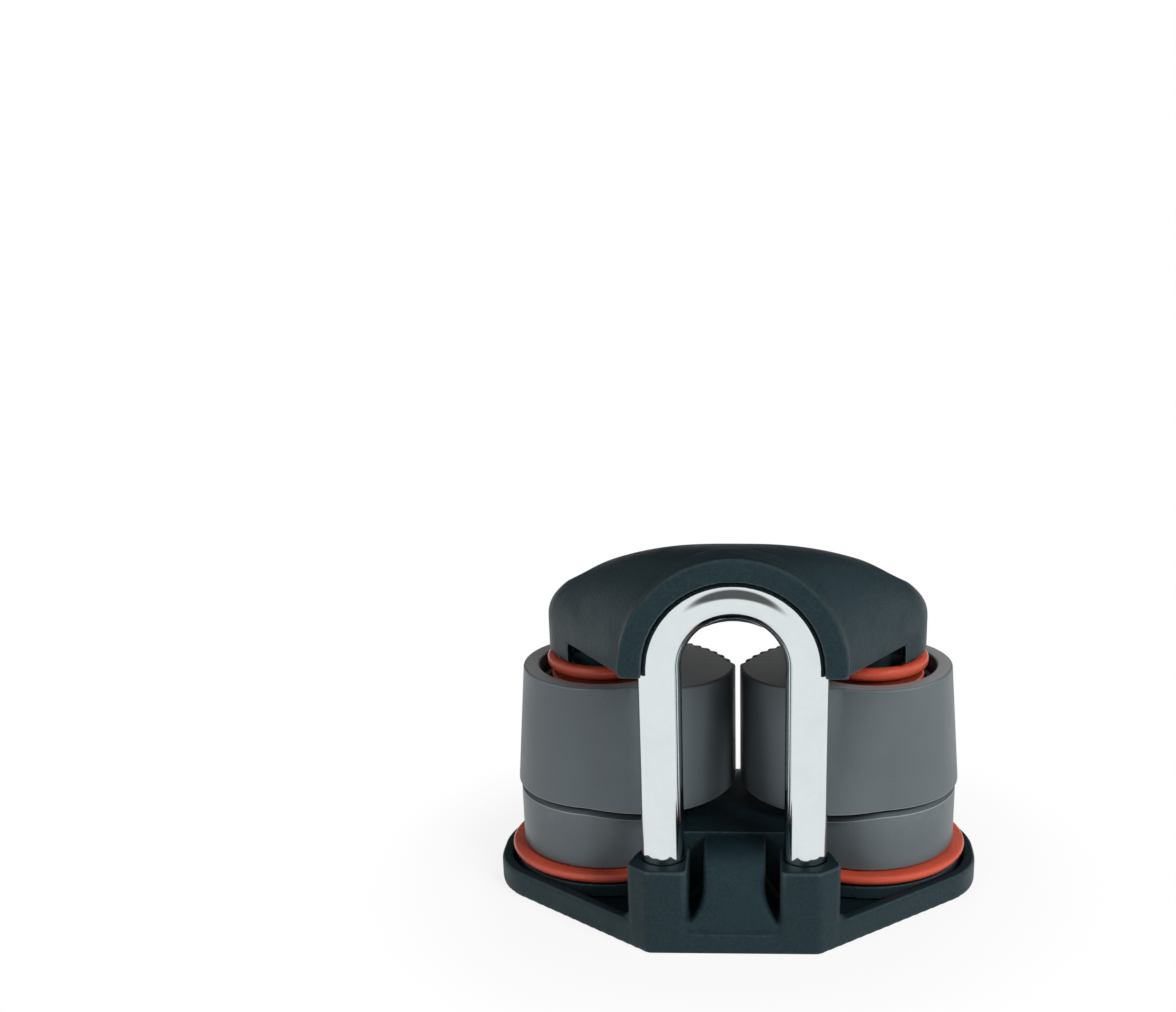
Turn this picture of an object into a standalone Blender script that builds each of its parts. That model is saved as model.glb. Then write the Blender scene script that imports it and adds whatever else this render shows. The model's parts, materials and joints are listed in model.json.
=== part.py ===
"""Angle fairlead on a two-cam rope cleat.

A polished wire bail stands in two posts at the front of a moulded base. A moulded bridge is
screwed down over the two cam pivots and holds the arch of the bail in its front lip. A line runs
in through the bail, over a ramp, between the two spiral cams and out under the bridge.

Frame: X to the right, Y to the back, Z up. The origin is on the underside of the base, halfway
between the two cam pivots. Lengths are in metres, written as millimetres times MM.
"""

import math

import bmesh
import bpy
import numpy as np
from mathutils import Vector

MM = 0.001

# Clearances
REST_GAP = 0.3 * MM
SEAT_GAP = 0.25 * MM
RUN_GAP = 0.3 * MM
RING_GAP = 0.6 * MM

# Pivots and mounting screws
PIVOT_X = 19.0 * MM
SCREW_RADIUS = 2.4 * MM
SCREW_HEAD_RADIUS = 4.8 * MM
SCREW_HEAD_TOP = 41.0 * MM
SCREW_HEAD_RIM = 0.3 * MM
HEX_RADIUS = 1.75 * MM
HEX_DEPTH = 1.8 * MM
SCREW_END = 0.2 * MM
SCREW_CHAMFER = 0.6 * MM

# Fairlead base
BASE_FRONT_Y = -27.2 * MM
BASE_FRONT_HALF = 11.7 * MM
BASE_SLOPE = math.radians(40.0)
BASE_END_RADIUS = 16.2 * MM
BASE_SHOULDER_SHARE = 0.69
BASE_CORNER_RADIUS = 1.6 * MM
BASE_WALL_HEIGHT = 3.9 * MM
BASE_WALL = 1.7 * MM
BASE_FLOOR = 1.6 * MM
BASE_EDGE = 0.5 * MM

# Posts that hold the bail
POST_INNER_X = 6.3 * MM
POST_FLANK_RUN = 3.0 * MM
POST_BACK_Y = -18.7 * MM
POST_TOP = 12.4 * MM
POST_EDGE = 0.5 * MM
POST_CORNER_RADIUS = 1.0 * MM
POST_PROUD = 0.04 * MM

# Rope tongue between the posts
TONGUE_HALF = 4.3 * MM
TONGUE_FLARE = 3.1 * MM
TONGUE_FLARE_HEIGHT = 5.5 * MM
TONGUE_TOE_Y = -25.8 * MM
TONGUE_BACK_Y = -16.8 * MM
TONGUE_CREST = 13.4 * MM
TONGUE_ARC_DEG = 78.0
TONGUE_EDGE = 1.0 * MM

# Cleat base
SLEEVE_RECESS = 1.0 * MM
RAMP_HALF = 8.2 * MM
RAMP_FALL_START_Y = 2.0 * MM
RAMP_TOP = 13.5 * MM
RAMP_BACK_TOP = 6.5 * MM
RAMP_EDGE = 1.2 * MM

# Bail
BAIL_WIRE_RADIUS = 2.9 * MM
BAIL_HALF_SPAN = 9.7 * MM
BAIL_Y = -22.2 * MM
BAIL_ARC_Z = 39.9 * MM

# Cams
CAM_TOP = 32.9 * MM
CAM_STEP_Z = 15.3 * MM
CAM_LOWER_RADIUS = 13.0 * MM
CAM_SKIRT_RADIUS = 13.3 * MM
CAM_RIM_RADIUS = 11.9 * MM
CAM_TIP_GAP = 0.6 * MM
CAM_EDGE = 0.4 * MM
CAM_GROOVE = 0.5 * MM
CAM_SPIRAL_DEG = 66.0
CAM_TIP_DEG = 183.0
CAM_NOSE_LOW_DEG = 100.0
CAM_NOSE_TOP_DEG = 68.0
CAM_BORE_RADIUS = 8.8 * MM
CAM_BORE_STEP = 0.5 * MM
CAM_RECESS_RADIUS = 9.6 * MM
CAM_RECESS_DEPTH = 2.7 * MM

# Teeth: the share of the spiral that they take, and one tooth as (share of its step, share of depth)
TOOTH_COUNT = 10
TOOTH_DEPTH = 0.75 * MM
TOOTHED_SHARE = 0.92
TOOTH_PROFILE = ((0.0, 0.0), (0.3, 1.0), (0.75, 0.25))

# Bearings and springs inside each cam
SLEEVE_RADIUS = 5.2 * MM
SLEEVE_PROUD = 0.5 * MM
SLEEVE_CHAMFER = 0.4 * MM
BALL_RADIUS = 1.5 * MM
BALL_COUNT = 10
CAGE_RADIUS = 0.55 * MM
BALL_ROW_SPACING = 7.4 * MM
BALL_ROW_FIRST_Z = 11.2 * MM
SPRING_RADIUS = 7.2 * MM
SPRING_WIRE_RADIUS = 0.55 * MM
SPRING_PITCH = 1.35 * MM
SPRING_TURNS = 1.75
SPRING_ROOM_RADIUS = 9.5 * MM
SPRING_LEG_RUN = 2.6 * MM
SPRING_FOOT_GAP = 0.4 * MM

# Bearing rings
LOWER_RING_RADIUS = 15.1 * MM
LOWER_RING_INNER = 11.2 * MM
LOWER_RING_HEIGHT = 1.4 * MM
UPPER_RING_INNER = 7.2 * MM
UPPER_RING_HEIGHT = 1.9 * MM

# Bridge
BRIDGE_END_RADIUS = 8.0 * MM
BRIDGE_FOOT_Z = 33.8 * MM
BRIDGE_UNDERSIDE_Z = 38.0 * MM
BRIDGE_FOOT_X = 23.5 * MM
BRIDGE_SIDE_Z = 40.2 * MM
BRIDGE_CREST_Z = 55.0 * MM
BRIDGE_BACK_CREST_Z = 43.9 * MM
BRIDGE_FALL_POWER = 1.9
BRIDGE_FULLNESS_FRONT = 2.0
BRIDGE_FULLNESS_GAIN = 1.15
BRIDGE_WING_FRONT_Y = -21.6 * MM
BRIDGE_BACK_Y = 8.0 * MM
BRIDGE_BACK_ROUND = 3.6 * MM
BRIDGE_WALL = 2.6 * MM
BRIDGE_FRONT_WALL = 5.7 * MM
LIP_RADIUS = 15.1 * MM
LIP_STEP = 0.6 * MM
LIP_FRONT_Y = -24.9 * MM
LIP_BACK_Y = -20.0 * MM
LIP_FOOT_Z = 39.1 * MM
LIP_EDGE = 0.9 * MM
LIP_MOUTH_HALF = 11.9 * MM
TUNNEL_HALF = 8.4 * MM
TUNNEL_ROOF_FRONT = 46.1 * MM
TUNNEL_ROOF_BACK = 41.6 * MM
TUNNEL_FLARE = 2.2 * MM
TUNNEL_ROOF_FLARE = 0.9 * MM
TUNNEL_FLARE_START_Y = 3.0 * MM
TUNNEL_WALL = 2.2 * MM
BOSS_RADIUS = 5.6 * MM
BOSS_TOP = 44.0 * MM

# Facets
ROUND_SIDES = 36
RING_SIDES = 32
WIRE_SIDES = 16
SMALL_SIDES = 6
NOSE_STEPS = 10
PLAIN_STEPS = 20
LARGE_RADIUS = 10.0 * MM

# Sizes and heights that follow from the ones above
POST_OUTER_X = BASE_FRONT_HALF + POST_FLANK_RUN
PLATE_LOW = BASE_FLOOR + REST_GAP
PLATE_TOP = BASE_WALL_HEIGHT
BASE_FLANK_REACH = (-BASE_FRONT_Y * math.cos(BASE_SLOPE)
                    - (PIVOT_X - BASE_FRONT_HALF) * math.sin(BASE_SLOPE))
PLATE_RADIUS = min(BASE_FLANK_REACH, BASE_END_RADIUS) - BASE_WALL - REST_GAP
RAMP_BACK_Y = BASE_END_RADIUS - BASE_WALL - REST_GAP
LOWER_RING_LOW = PLATE_TOP + REST_GAP
CAM_LOW = LOWER_RING_LOW + LOWER_RING_HEIGHT + RING_GAP
CAM_RECESS_Z = CAM_TOP - CAM_RECESS_DEPTH
UPPER_RING_LOW = CAM_RECESS_Z + RUN_GAP
SLEEVE_LOW = PLATE_TOP - SLEEVE_RECESS + REST_GAP
SLEEVE_TOP = CAM_TOP + SLEEVE_PROUD
BOSS_LOW = SLEEVE_TOP + REST_GAP
SCREW_HOLE_RADIUS = SCREW_RADIUS + REST_GAP
BALL_CENTRE_RADIUS = 0.5 * (SLEEVE_RADIUS + CAM_BORE_RADIUS)
SPRING_LOW = PLATE_TOP + REST_GAP + SPRING_WIRE_RADIUS
SPRING_TOP = SPRING_LOW + SPRING_PITCH * SPRING_TURNS
SPRING_ROOM_TOP = SPRING_TOP + SPRING_WIRE_RADIUS + REST_GAP

# Helpers of the construction: far past everything, a corner that stays nearly sharp, and a round end
# just short of meeting its twin, so that no side of an outline has zero length
FAR = 60.0 * MM
SHARP = 0.1 * MM
ALMOST = 0.999


def clear_scene():
    """Remove whatever objects the file holds."""
    for thing in list(bpy.data.objects):
        bpy.data.objects.remove(thing)


def make_material(name, color, roughness, metallic):
    """A Principled material with one colour, roughness and metallic value."""
    material = bpy.data.materials.new(name)
    material.use_nodes = True
    shader = material.node_tree.nodes["Principled BSDF"]
    shader.inputs["Base Color"].default_value = (*color, 1.0)
    shader.inputs["Roughness"].default_value = roughness
    shader.inputs["Metallic"].default_value = metallic
    material.diffuse_color = (*color, 1.0)
    return material


def body_from(name, points, faces, material=None, origin=(0.0, 0.0, 0.0)):
    """One closed body from points in the part's frame, with its object origin at the given place."""
    build = bmesh.new()
    shift = Vector(origin)
    corners = [build.verts.new(Vector(point) - shift) for point in points]
    for face in faces:
        build.faces.new([corners[index] for index in face])
    bmesh.ops.remove_doubles(build, verts=build.verts, dist=1e-7)
    bmesh.ops.recalc_face_normals(build, faces=build.faces)
    mesh = bpy.data.meshes.new(name)
    build.to_mesh(mesh)
    build.free()
    mesh.shade_smooth()
    mesh.set_sharp_from_angle(angle=math.radians(35.0))
    thing = bpy.data.objects.new(name, mesh)
    thing.location = origin
    bpy.context.scene.collection.objects.link(thing)
    if material:
        mesh.materials.append(material)
    return thing


def loft(name, sections, material=None, origin=(0.0, 0.0, 0.0), closed_loop=False):
    """Skin a row of closed loops that have equal counts, and cap both ends unless it closes on itself."""
    loops = np.asarray(sections, dtype=float)
    rows, count = loops.shape[:2]
    faces = []
    for row in range(rows if closed_loop else rows - 1):
        here = row * count
        there = ((row + 1) % rows) * count
        for step in range(count):
            after = (step + 1) % count
            faces.append((here + step, here + after, there + after, there + step))
    if not closed_loop:
        faces.append(tuple(range(count)))
        faces.append(tuple((rows - 1) * count + step for step in range(count)))
    return body_from(name, loops.reshape(-1, 3), faces, material, origin)


def turned(name, profile, centre_x, material=None, sides=ROUND_SIDES, origin=(0.0, 0.0, 0.0)):
    """Turn a closed profile of (radius, height) points, none on the axis, about a vertical axis."""
    sections = []
    for step in range(sides):
        angle = 2.0 * math.pi * step / sides
        sections.append([(centre_x + radius * math.cos(angle), radius * math.sin(angle), height)
                         for radius, height in profile])
    return loft(name, sections, material, origin, closed_loop=True)


def solid_turned(name, profile, centre_x, material=None, sides=ROUND_SIDES):
    """Turn an open profile, from the lowest disc to the highest, and cap it top and bottom."""
    angles = np.linspace(0.0, 2.0 * math.pi, sides, endpoint=False)
    sections = [np.column_stack((centre_x + radius * np.cos(angles), radius * np.sin(angles),
                                 np.full(sides, height))) for radius, height in profile]
    return loft(name, sections, material)


def rounded_outline(corners, inset=0.0, steps=4):
    """Points of a polygon whose corners (x, y, radius) are rounded, moved inwards by the inset.

    A corner of a large radius gets three times the steps.
    """
    count = len(corners)
    spots = np.array([corner[:2] for corner in corners])
    ahead = np.roll(spots, -1, axis=0) - spots
    ahead /= np.linalg.norm(ahead, axis=1)[:, None]
    inward = np.column_stack((-ahead[:, 1], ahead[:, 0]))
    points = []
    for index in range(count):
        before, after = ahead[index - 1], ahead[index]
        turn = math.atan2(before[0] * after[1] - before[1] * after[0], before @ after)
        half = math.tan(turn / 2.0)
        corner = spots[index] + inset * (inward[index - 1] - half * before)
        radius = max(corners[index][2] - math.copysign(inset, turn), 0.02 * MM)
        reach = radius * abs(half)
        centre = corner - reach * before + math.copysign(radius, turn) * inward[index - 1]
        start = math.atan2(*(corner - reach * before - centre)[::-1])
        fineness = 3 * steps if corners[index][2] > LARGE_RADIUS else steps
        for step in range(fineness + 1):
            angle = start + turn * step / fineness
            points.append(centre + radius * np.array((math.cos(angle), math.sin(angle))))
    return np.array(points)


def raised(outline, height):
    """Give a flat outline one height."""
    return np.column_stack((outline, np.full(len(outline), height)))


def soft_prism(name, corners, low, high, edge, material=None, proud=0.0):
    """A prism with rounded corners and a quarter-round top edge, its sides moved out a little."""
    sections = [raised(rounded_outline(corners, -proud), low)]
    for angle in np.radians((0.0, 30.0, 60.0, 90.0)):
        inset = edge * (1.0 - math.cos(angle)) - proud
        sections.append(raised(rounded_outline(corners, inset), high - edge + edge * math.sin(angle)))
    return loft(name, sections, material)


def plain_prism(name, outline, low, high):
    """A straight prism over an outline."""
    return loft(name, [raised(outline, low), raised(outline, high)])


def block(name, low, high):
    """A rectangular block between two corners."""
    outline = np.array(((low[0], low[1]), (high[0], low[1]), (high[0], high[1]), (low[0], high[1])))
    return plain_prism(name, outline, low[2], high[2])


def swept_wire(name, path, radius, sides, material=None, origin=(0.0, 0.0, 0.0)):
    """Carry a circle along a path, without twist, and cap its two ends."""
    path = np.asarray(path, dtype=float)
    ahead = np.gradient(path, axis=0)
    ahead /= np.linalg.norm(ahead, axis=1)[:, None]
    across = np.cross(ahead[0], (0.3, 1.0, 0.2))
    angles = np.linspace(0.0, 2.0 * math.pi, sides, endpoint=False)
    sections = []
    for spot, tangent in zip(path, ahead):
        across = across - tangent * (across @ tangent)
        across /= np.linalg.norm(across)
        upward = np.cross(tangent, across)
        ring = np.outer(np.cos(angles), across) + np.outer(np.sin(angles), upward)
        sections.append(spot + radius * ring)
    return loft(name, sections, material, origin)


def combine(target, operation, tools):
    """Add or take away tool bodies with exact Booleans, and keep the tools as hidden guides."""
    for tool in tools:
        step = target.modifiers.new(tool.name, "BOOLEAN")
        step.operation = operation
        step.solver = "EXACT"
        step.object = tool
        tool.hide_render = True
        tool.display_type = "WIRE"


def cut(target, *tools):
    """Take the tools away from the target."""
    combine(target, "DIFFERENCE", tools)


def join(target, *tools):
    """Make the tools part of the target."""
    combine(target, "UNION", tools)


def side_name(side):
    """The word for the right (+1) or left (-1) side."""
    return "right" if side > 0 else "left"


def base_corners():
    """Corners of the base: straight front, sloping flanks, round ends behind the pivots.

    The curve of each shoulder takes a share of the side between the flank and the round end.
    """
    side_x = PIVOT_X + BASE_END_RADIUS
    shoulder_y = BASE_FRONT_Y + (side_x - BASE_FRONT_HALF) * math.tan(BASE_SLOPE)
    half_turn = 0.5 * (math.radians(90.0) - BASE_SLOPE)
    shoulder_radius = -shoulder_y * BASE_SHOULDER_SHARE / math.tan(half_turn)
    right = [(BASE_FRONT_HALF, BASE_FRONT_Y, BASE_CORNER_RADIUS),
             (side_x, shoulder_y, shoulder_radius),
             (side_x, BASE_END_RADIUS, BASE_END_RADIUS * ALMOST)]
    left = [(-x, y, radius) for x, y, radius in reversed(right)]
    return right + left


def post_corners(side):
    """Corners of a post, whose front follows the outline of the base."""
    flank_y = BASE_FRONT_Y + (POST_OUTER_X - BASE_FRONT_HALF) * math.tan(BASE_SLOPE)
    corners = [(POST_INNER_X, BASE_FRONT_Y, POST_CORNER_RADIUS),
               (BASE_FRONT_HALF, BASE_FRONT_Y, BASE_CORNER_RADIUS),
               (POST_OUTER_X, flank_y, BASE_CORNER_RADIUS),
               (POST_OUTER_X, POST_BACK_Y, POST_CORNER_RADIUS),
               (POST_INNER_X, POST_BACK_Y, POST_CORNER_RADIUS)]
    if side > 0:
        return corners
    return [(-x, y, radius) for x, y, radius in reversed(corners)]


def rope_tongue():
    """The ramp between the posts: a quarter ellipse from the toe to the crest, flared at its foot."""
    sections = []
    for angle in np.radians(np.linspace(0.0, TONGUE_ARC_DEG, 9)):
        height = BASE_FLOOR + (TONGUE_CREST - BASE_FLOOR) * math.sin(angle)
        front = TONGUE_BACK_Y + (TONGUE_TOE_Y - TONGUE_BACK_Y) * math.cos(angle)
        rise = min((height - BASE_FLOOR) / TONGUE_FLARE_HEIGHT, 1.0)
        half = TONGUE_HALF + TONGUE_FLARE * (1.0 - rise) ** 2
        corners = [(-half, front, TONGUE_EDGE), (half, front, TONGUE_EDGE),
                   (half, TONGUE_BACK_Y, SHARP), (-half, TONGUE_BACK_Y, SHARP)]
        sections.append(raised(rounded_outline(corners, steps=3), height))
    foot = sections[0].copy()
    foot[:, 2] = 0.5 * BASE_FLOOR
    return loft("tongue_form", [foot] + sections)


def make_fairlead_base(material):
    """The tray with its posts, its rope tongue, the bores for the bail and the screw holes."""
    base = soft_prism("fairlead_base", base_corners(), 0.0, BASE_WALL_HEIGHT, BASE_EDGE, material)
    hollow = plain_prism("tray_hollow", rounded_outline(base_corners(), BASE_WALL), BASE_FLOOR, FAR)
    mouth_half = 0.5 * (POST_INNER_X + BASE_FRONT_HALF)
    mouth = block("tray_mouth", (-mouth_half, BASE_FRONT_Y - BASE_WALL, BASE_FLOOR),
                  (mouth_half, BASE_FRONT_Y + 2.0 * BASE_WALL, FAR))
    cut(base, hollow, mouth)
    for side in (-1, 1):
        cut(base, solid_turned(f"deck_hole_{side_name(side)}",
                               ((SCREW_HOLE_RADIUS, -BASE_FLOOR), (SCREW_HOLE_RADIUS, 2.0 * BASE_FLOOR)),
                               side * PIVOT_X, sides=24))
    for side in (-1, 1):
        join(base, soft_prism(f"post_form_{side_name(side)}", post_corners(side), 0.5 * BASE_FLOOR,
                              POST_TOP, POST_EDGE, proud=POST_PROUD))
    join(base, rope_tongue())
    for side in (-1, 1):
        bore = solid_turned(f"bail_bore_{side_name(side)}",
                            ((BAIL_WIRE_RADIUS + SEAT_GAP, BASE_FLOOR),
                             (BAIL_WIRE_RADIUS + SEAT_GAP, FAR)), 0.0, sides=24)
        bore.location = (side * BAIL_HALF_SPAN, BAIL_Y, 0.0)
        cut(base, bore)
    return base


def ramp_form():
    """The rope ramp of the cleat base: level between the cams and rounded down to the back."""
    front = TONGUE_BACK_Y + REST_GAP
    sections = []
    for y in np.linspace(front, RAMP_BACK_Y, 9):
        fall = max(y - RAMP_FALL_START_Y, 0.0) / (RAMP_BACK_Y - RAMP_FALL_START_Y)
        top = RAMP_TOP - (RAMP_TOP - RAMP_BACK_TOP) * (1.0 - math.sqrt(max(1.0 - fall ** 2, 0.0)))
        corners = [(-RAMP_HALF, PLATE_LOW, SHARP), (RAMP_HALF, PLATE_LOW, SHARP),
                   (RAMP_HALF, top, RAMP_EDGE), (-RAMP_HALF, top, RAMP_EDGE)]
        outline = rounded_outline(corners, steps=3)
        sections.append(np.column_stack((outline[:, 0], np.full(len(outline), y), outline[:, 1])))
    return loft("ramp_form", sections)


def make_cleat_base(material):
    """Two round seats for the cams, joined by the rope ramp, whose flanks clear the rings."""
    profile = ((SCREW_HOLE_RADIUS, PLATE_LOW), (PLATE_RADIUS, PLATE_LOW), (PLATE_RADIUS, PLATE_TOP),
               (SLEEVE_RADIUS + REST_GAP, PLATE_TOP), (SLEEVE_RADIUS + REST_GAP, PLATE_TOP - SLEEVE_RECESS),
               (SCREW_HOLE_RADIUS, PLATE_TOP - SLEEVE_RECESS))
    plate = turned("cleat_base", profile, PIVOT_X, material)
    other = turned("plate_form_left", profile, -PIVOT_X)
    ramp = ramp_form()
    reach = LOWER_RING_RADIUS + REST_GAP
    for side in (-1, 1):
        cut(ramp, solid_turned(f"ring_room_{side_name(side)}", ((reach, PLATE_TOP), (reach, FAR)),
                               side * PIVOT_X))
        cut(ramp, solid_turned(f"seat_room_{side_name(side)}",
                               ((0.5 * PLATE_RADIUS, 0.0), (0.5 * PLATE_RADIUS, FAR)), side * PIVOT_X))
    join(plate, ramp, other)
    for side in (-1, 1):
        leg = spring_leg_place(side)
        hole = solid_turned(f"spring_hole_{side_name(side)}",
                            ((SPRING_WIRE_RADIUS + REST_GAP, 0.0), (SPRING_WIRE_RADIUS + REST_GAP, FAR)),
                            0.0, sides=12)
        hole.location = (leg[0], leg[1], 0.0)
        cut(plate, hole)
    return plate


def bail_path(low, arc_steps=18):
    """Centre line of the bail: up one leg, round half a circle and down the other leg."""
    angles = np.linspace(0.0, math.pi, arc_steps + 1)
    arc = [(BAIL_HALF_SPAN * math.cos(angle), BAIL_Y, BAIL_ARC_Z + BAIL_HALF_SPAN * math.sin(angle))
           for angle in angles]
    return [(BAIL_HALF_SPAN, BAIL_Y, low)] + arc + [(-BAIL_HALF_SPAN, BAIL_Y, low)]


def make_bail(material):
    """The round wire that stands in the posts, with its arch in the bridge."""
    return swept_wire("bail", bail_path(BASE_FLOOR + REST_GAP), BAIL_WIRE_RADIUS, WIRE_SIDES, material)


def cam_radius(angle, plain_radius, nose_deg):
    """Radius of the right cam at an angle in degrees: a spiral that ends in a broad nose.

    The spiral grows from the plain radius to the tip by a constant factor for each degree. Past the
    tip, the nose stands above the plain radius by (1 - s cubed) squared of the tip's height, where s
    is the share of the nose's angle that is passed. Angles run anticlockwise, and 180 points to the
    other cam.
    """
    tip_radius = PIVOT_X - 0.5 * CAM_TIP_GAP
    if angle > CAM_TIP_DEG + nose_deg:
        angle -= 360.0
    if angle <= CAM_TIP_DEG:
        growth = min(max(1.0 - (CAM_TIP_DEG - angle) / CAM_SPIRAL_DEG, 0.0), 1.0)
        return plain_radius * (tip_radius / plain_radius) ** growth
    passed = (angle - CAM_TIP_DEG) / nose_deg
    return plain_radius + (tip_radius - plain_radius) * (1.0 - passed ** 3) ** 2


def cam_outline(side, plain_radius, nose_deg):
    """Outline of a cam about its pivot, with upright teeth cut into the spiral."""
    tooth_start = CAM_TIP_DEG - CAM_SPIRAL_DEG * TOOTHED_SHARE
    tooth_step = (CAM_TIP_DEG - tooth_start) / TOOTH_COUNT
    nose_end = CAM_TIP_DEG + CAM_NOSE_LOW_DEG
    places = [(tooth_start + tooth_step * (index + share), depth)
              for index in range(TOOTH_COUNT) for share, depth in TOOTH_PROFILE]
    for start, end, steps in ((CAM_TIP_DEG, nose_end, NOSE_STEPS),
                              (nose_end, tooth_start + 360.0, PLAIN_STEPS)):
        places += [(angle, 0.0) for angle in np.linspace(start, end, steps, endpoint=False)]
    points = []
    for angle, depth in places:
        radius = cam_radius(angle, plain_radius, nose_deg) - TOOTH_DEPTH * depth
        points.append((side * (PIVOT_X + radius * math.cos(math.radians(angle))),
                       radius * math.sin(math.radians(angle))))
    return np.array(points)


def circle_like(outline, side, radius):
    """Move each point of a cam's outline onto a circle about the pivot, at its own angle."""
    offsets = outline - np.array((side * PIVOT_X, 0.0))
    offsets *= radius / np.linalg.norm(offsets, axis=1)[:, None]
    return offsets + np.array((side * PIVOT_X, 0.0))


def make_cam(side, material):
    """A cam with a plain lower tier, a toothed spiral upper tier and a stepped bore."""
    word = side_name(side)
    skirt = cam_outline(side, CAM_SKIRT_RADIUS, CAM_NOSE_LOW_DEG)
    rim = cam_outline(side, CAM_RIM_RADIUS, CAM_NOSE_TOP_DEG)
    tucked = circle_like(skirt, side, CAM_LOWER_RADIUS - CAM_GROOVE)
    lower = circle_like(skirt, side, CAM_LOWER_RADIUS)
    foot = circle_like(skirt, side, CAM_LOWER_RADIUS - CAM_EDGE)
    pivot = np.array((side * PIVOT_X, 0.0))
    rim_top = pivot + (rim - pivot) * (1.0 - CAM_EDGE / CAM_RIM_RADIUS)
    skirt_low = pivot + (skirt - pivot) * (1.0 - CAM_EDGE / CAM_SKIRT_RADIUS)
    sections = [raised(foot, CAM_LOW), raised(lower, CAM_LOW + CAM_EDGE),
                raised(lower, CAM_STEP_Z - 2.0 * CAM_GROOVE), raised(tucked, CAM_STEP_Z - CAM_GROOVE),
                raised(tucked, CAM_STEP_Z), raised(skirt_low, CAM_STEP_Z),
                raised(skirt, CAM_STEP_Z + CAM_EDGE), raised(rim, CAM_TOP - CAM_EDGE),
                raised(rim_top, CAM_TOP)]
    cam = loft(f"cam_{word}", sections, material, origin=(side * PIVOT_X, 0.0, 0.0))
    bore = solid_turned(f"cam_bore_{word}",
                        ((SPRING_ROOM_RADIUS, 0.0), (SPRING_ROOM_RADIUS, SPRING_ROOM_TOP),
                         (CAM_BORE_RADIUS, SPRING_ROOM_TOP + CAM_BORE_STEP), (CAM_BORE_RADIUS, CAM_RECESS_Z),
                         (CAM_RECESS_RADIUS, CAM_RECESS_Z), (CAM_RECESS_RADIUS, FAR)),
                        side * PIVOT_X)
    half = SPRING_WIRE_RADIUS + REST_GAP
    notch = block(f"spring_notch_{word}", (0.0, -half, 0.0),
                  (SPRING_RADIUS + SPRING_LEG_RUN + SPRING_WIRE_RADIUS + REST_GAP, half, SPRING_ROOM_TOP))
    notch.location = (side * PIVOT_X, 0.0, 0.0)
    notch.rotation_euler = (0.0, 0.0, spring_end_angle(side))
    cut(cam, bore, notch)
    return cam


def spring_end_angle(side):
    """Angle of the spring's upper leg: towards the lobe of the cam."""
    return math.pi if side > 0 else 0.0


def spring_leg_place(side):
    """Where the spring's lower leg goes down into the cleat base."""
    start = spring_end_angle(side) - side * 2.0 * math.pi * SPRING_TURNS
    return (side * PIVOT_X + SPRING_RADIUS * math.cos(start), SPRING_RADIUS * math.sin(start))


def make_spring(side, material):
    """A torsion spring: one leg down into the base, a coil and one leg out into the cam."""
    end = spring_end_angle(side)
    start = end - side * 2.0 * math.pi * SPRING_TURNS
    leg_x, leg_y = spring_leg_place(side)
    path = [(leg_x, leg_y, PLATE_LOW + SPRING_FOOT_GAP),
            (leg_x, leg_y, SPRING_LOW - 0.5 * SPRING_WIRE_RADIUS)]
    steps = int(14 * SPRING_TURNS)
    for step in range(1, steps):
        share = step / steps
        angle = start + (end - start) * share
        path.append((side * PIVOT_X + SPRING_RADIUS * math.cos(angle), SPRING_RADIUS * math.sin(angle),
                     SPRING_LOW + (SPRING_TOP - SPRING_LOW) * share))
    for run in (0.35, 1.0):
        reach = SPRING_RADIUS + SPRING_LEG_RUN * run
        path.append((side * PIVOT_X + reach * math.cos(end), reach * math.sin(end), SPRING_TOP))
    return swept_wire(f"torsion_spring_{side_name(side)}", path, SPRING_WIRE_RADIUS, SMALL_SIDES, material,
                      origin=(side * PIVOT_X, 0.0, 0.0))


def make_ball_row(side, level, material):
    """Balls in a thin wire cage, as one body: the section swells to a ball at each station.

    At a distance d from a ball's centre along the pitch circle the section's radius is the larger
    of the cage's radius and the square root of the ball's radius squared less d squared.
    """
    word = ("lower", "middle", "upper")[level]
    height = BALL_ROW_FIRST_Z + level * BALL_ROW_SPACING
    pitch = 2.0 * math.pi / BALL_COUNT
    ball_angle = BALL_RADIUS / BALL_CENTRE_RADIUS
    stations = [share * ball_angle for share in (-0.92, -0.4, 0.4, 0.92)]
    rounds = np.linspace(0.0, 2.0 * math.pi, SMALL_SIDES, endpoint=False)
    sections = []
    for ball in range(BALL_COUNT):
        for station in stations:
            angle = ball * pitch + station
            away = BALL_CENTRE_RADIUS * abs(station)
            swell = max(math.sqrt(max(BALL_RADIUS ** 2 - away ** 2, 0.0)), CAGE_RADIUS)
            radii = BALL_CENTRE_RADIUS + swell * np.cos(rounds)
            sections.append(np.column_stack((side * PIVOT_X + radii * math.cos(angle),
                                             radii * math.sin(angle), height + swell * np.sin(rounds))))
    return loft(f"ball_row_{word}_{side_name(side)}", sections, material,
                origin=(side * PIVOT_X, 0.0, 0.0), closed_loop=True)


def ring_profile(inner, outer, low, height):
    """Section of a bearing ring: square inside, with a half-round outer edge."""
    profile = [(inner, low + height), (inner, low)]
    for angle in np.radians((-90.0, -40.0, 0.0, 40.0, 90.0)):
        profile.append((outer - 0.5 * height * (1.0 - math.cos(angle)),
                        low + 0.5 * height * (1.0 + math.sin(angle))))
    return profile


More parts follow.
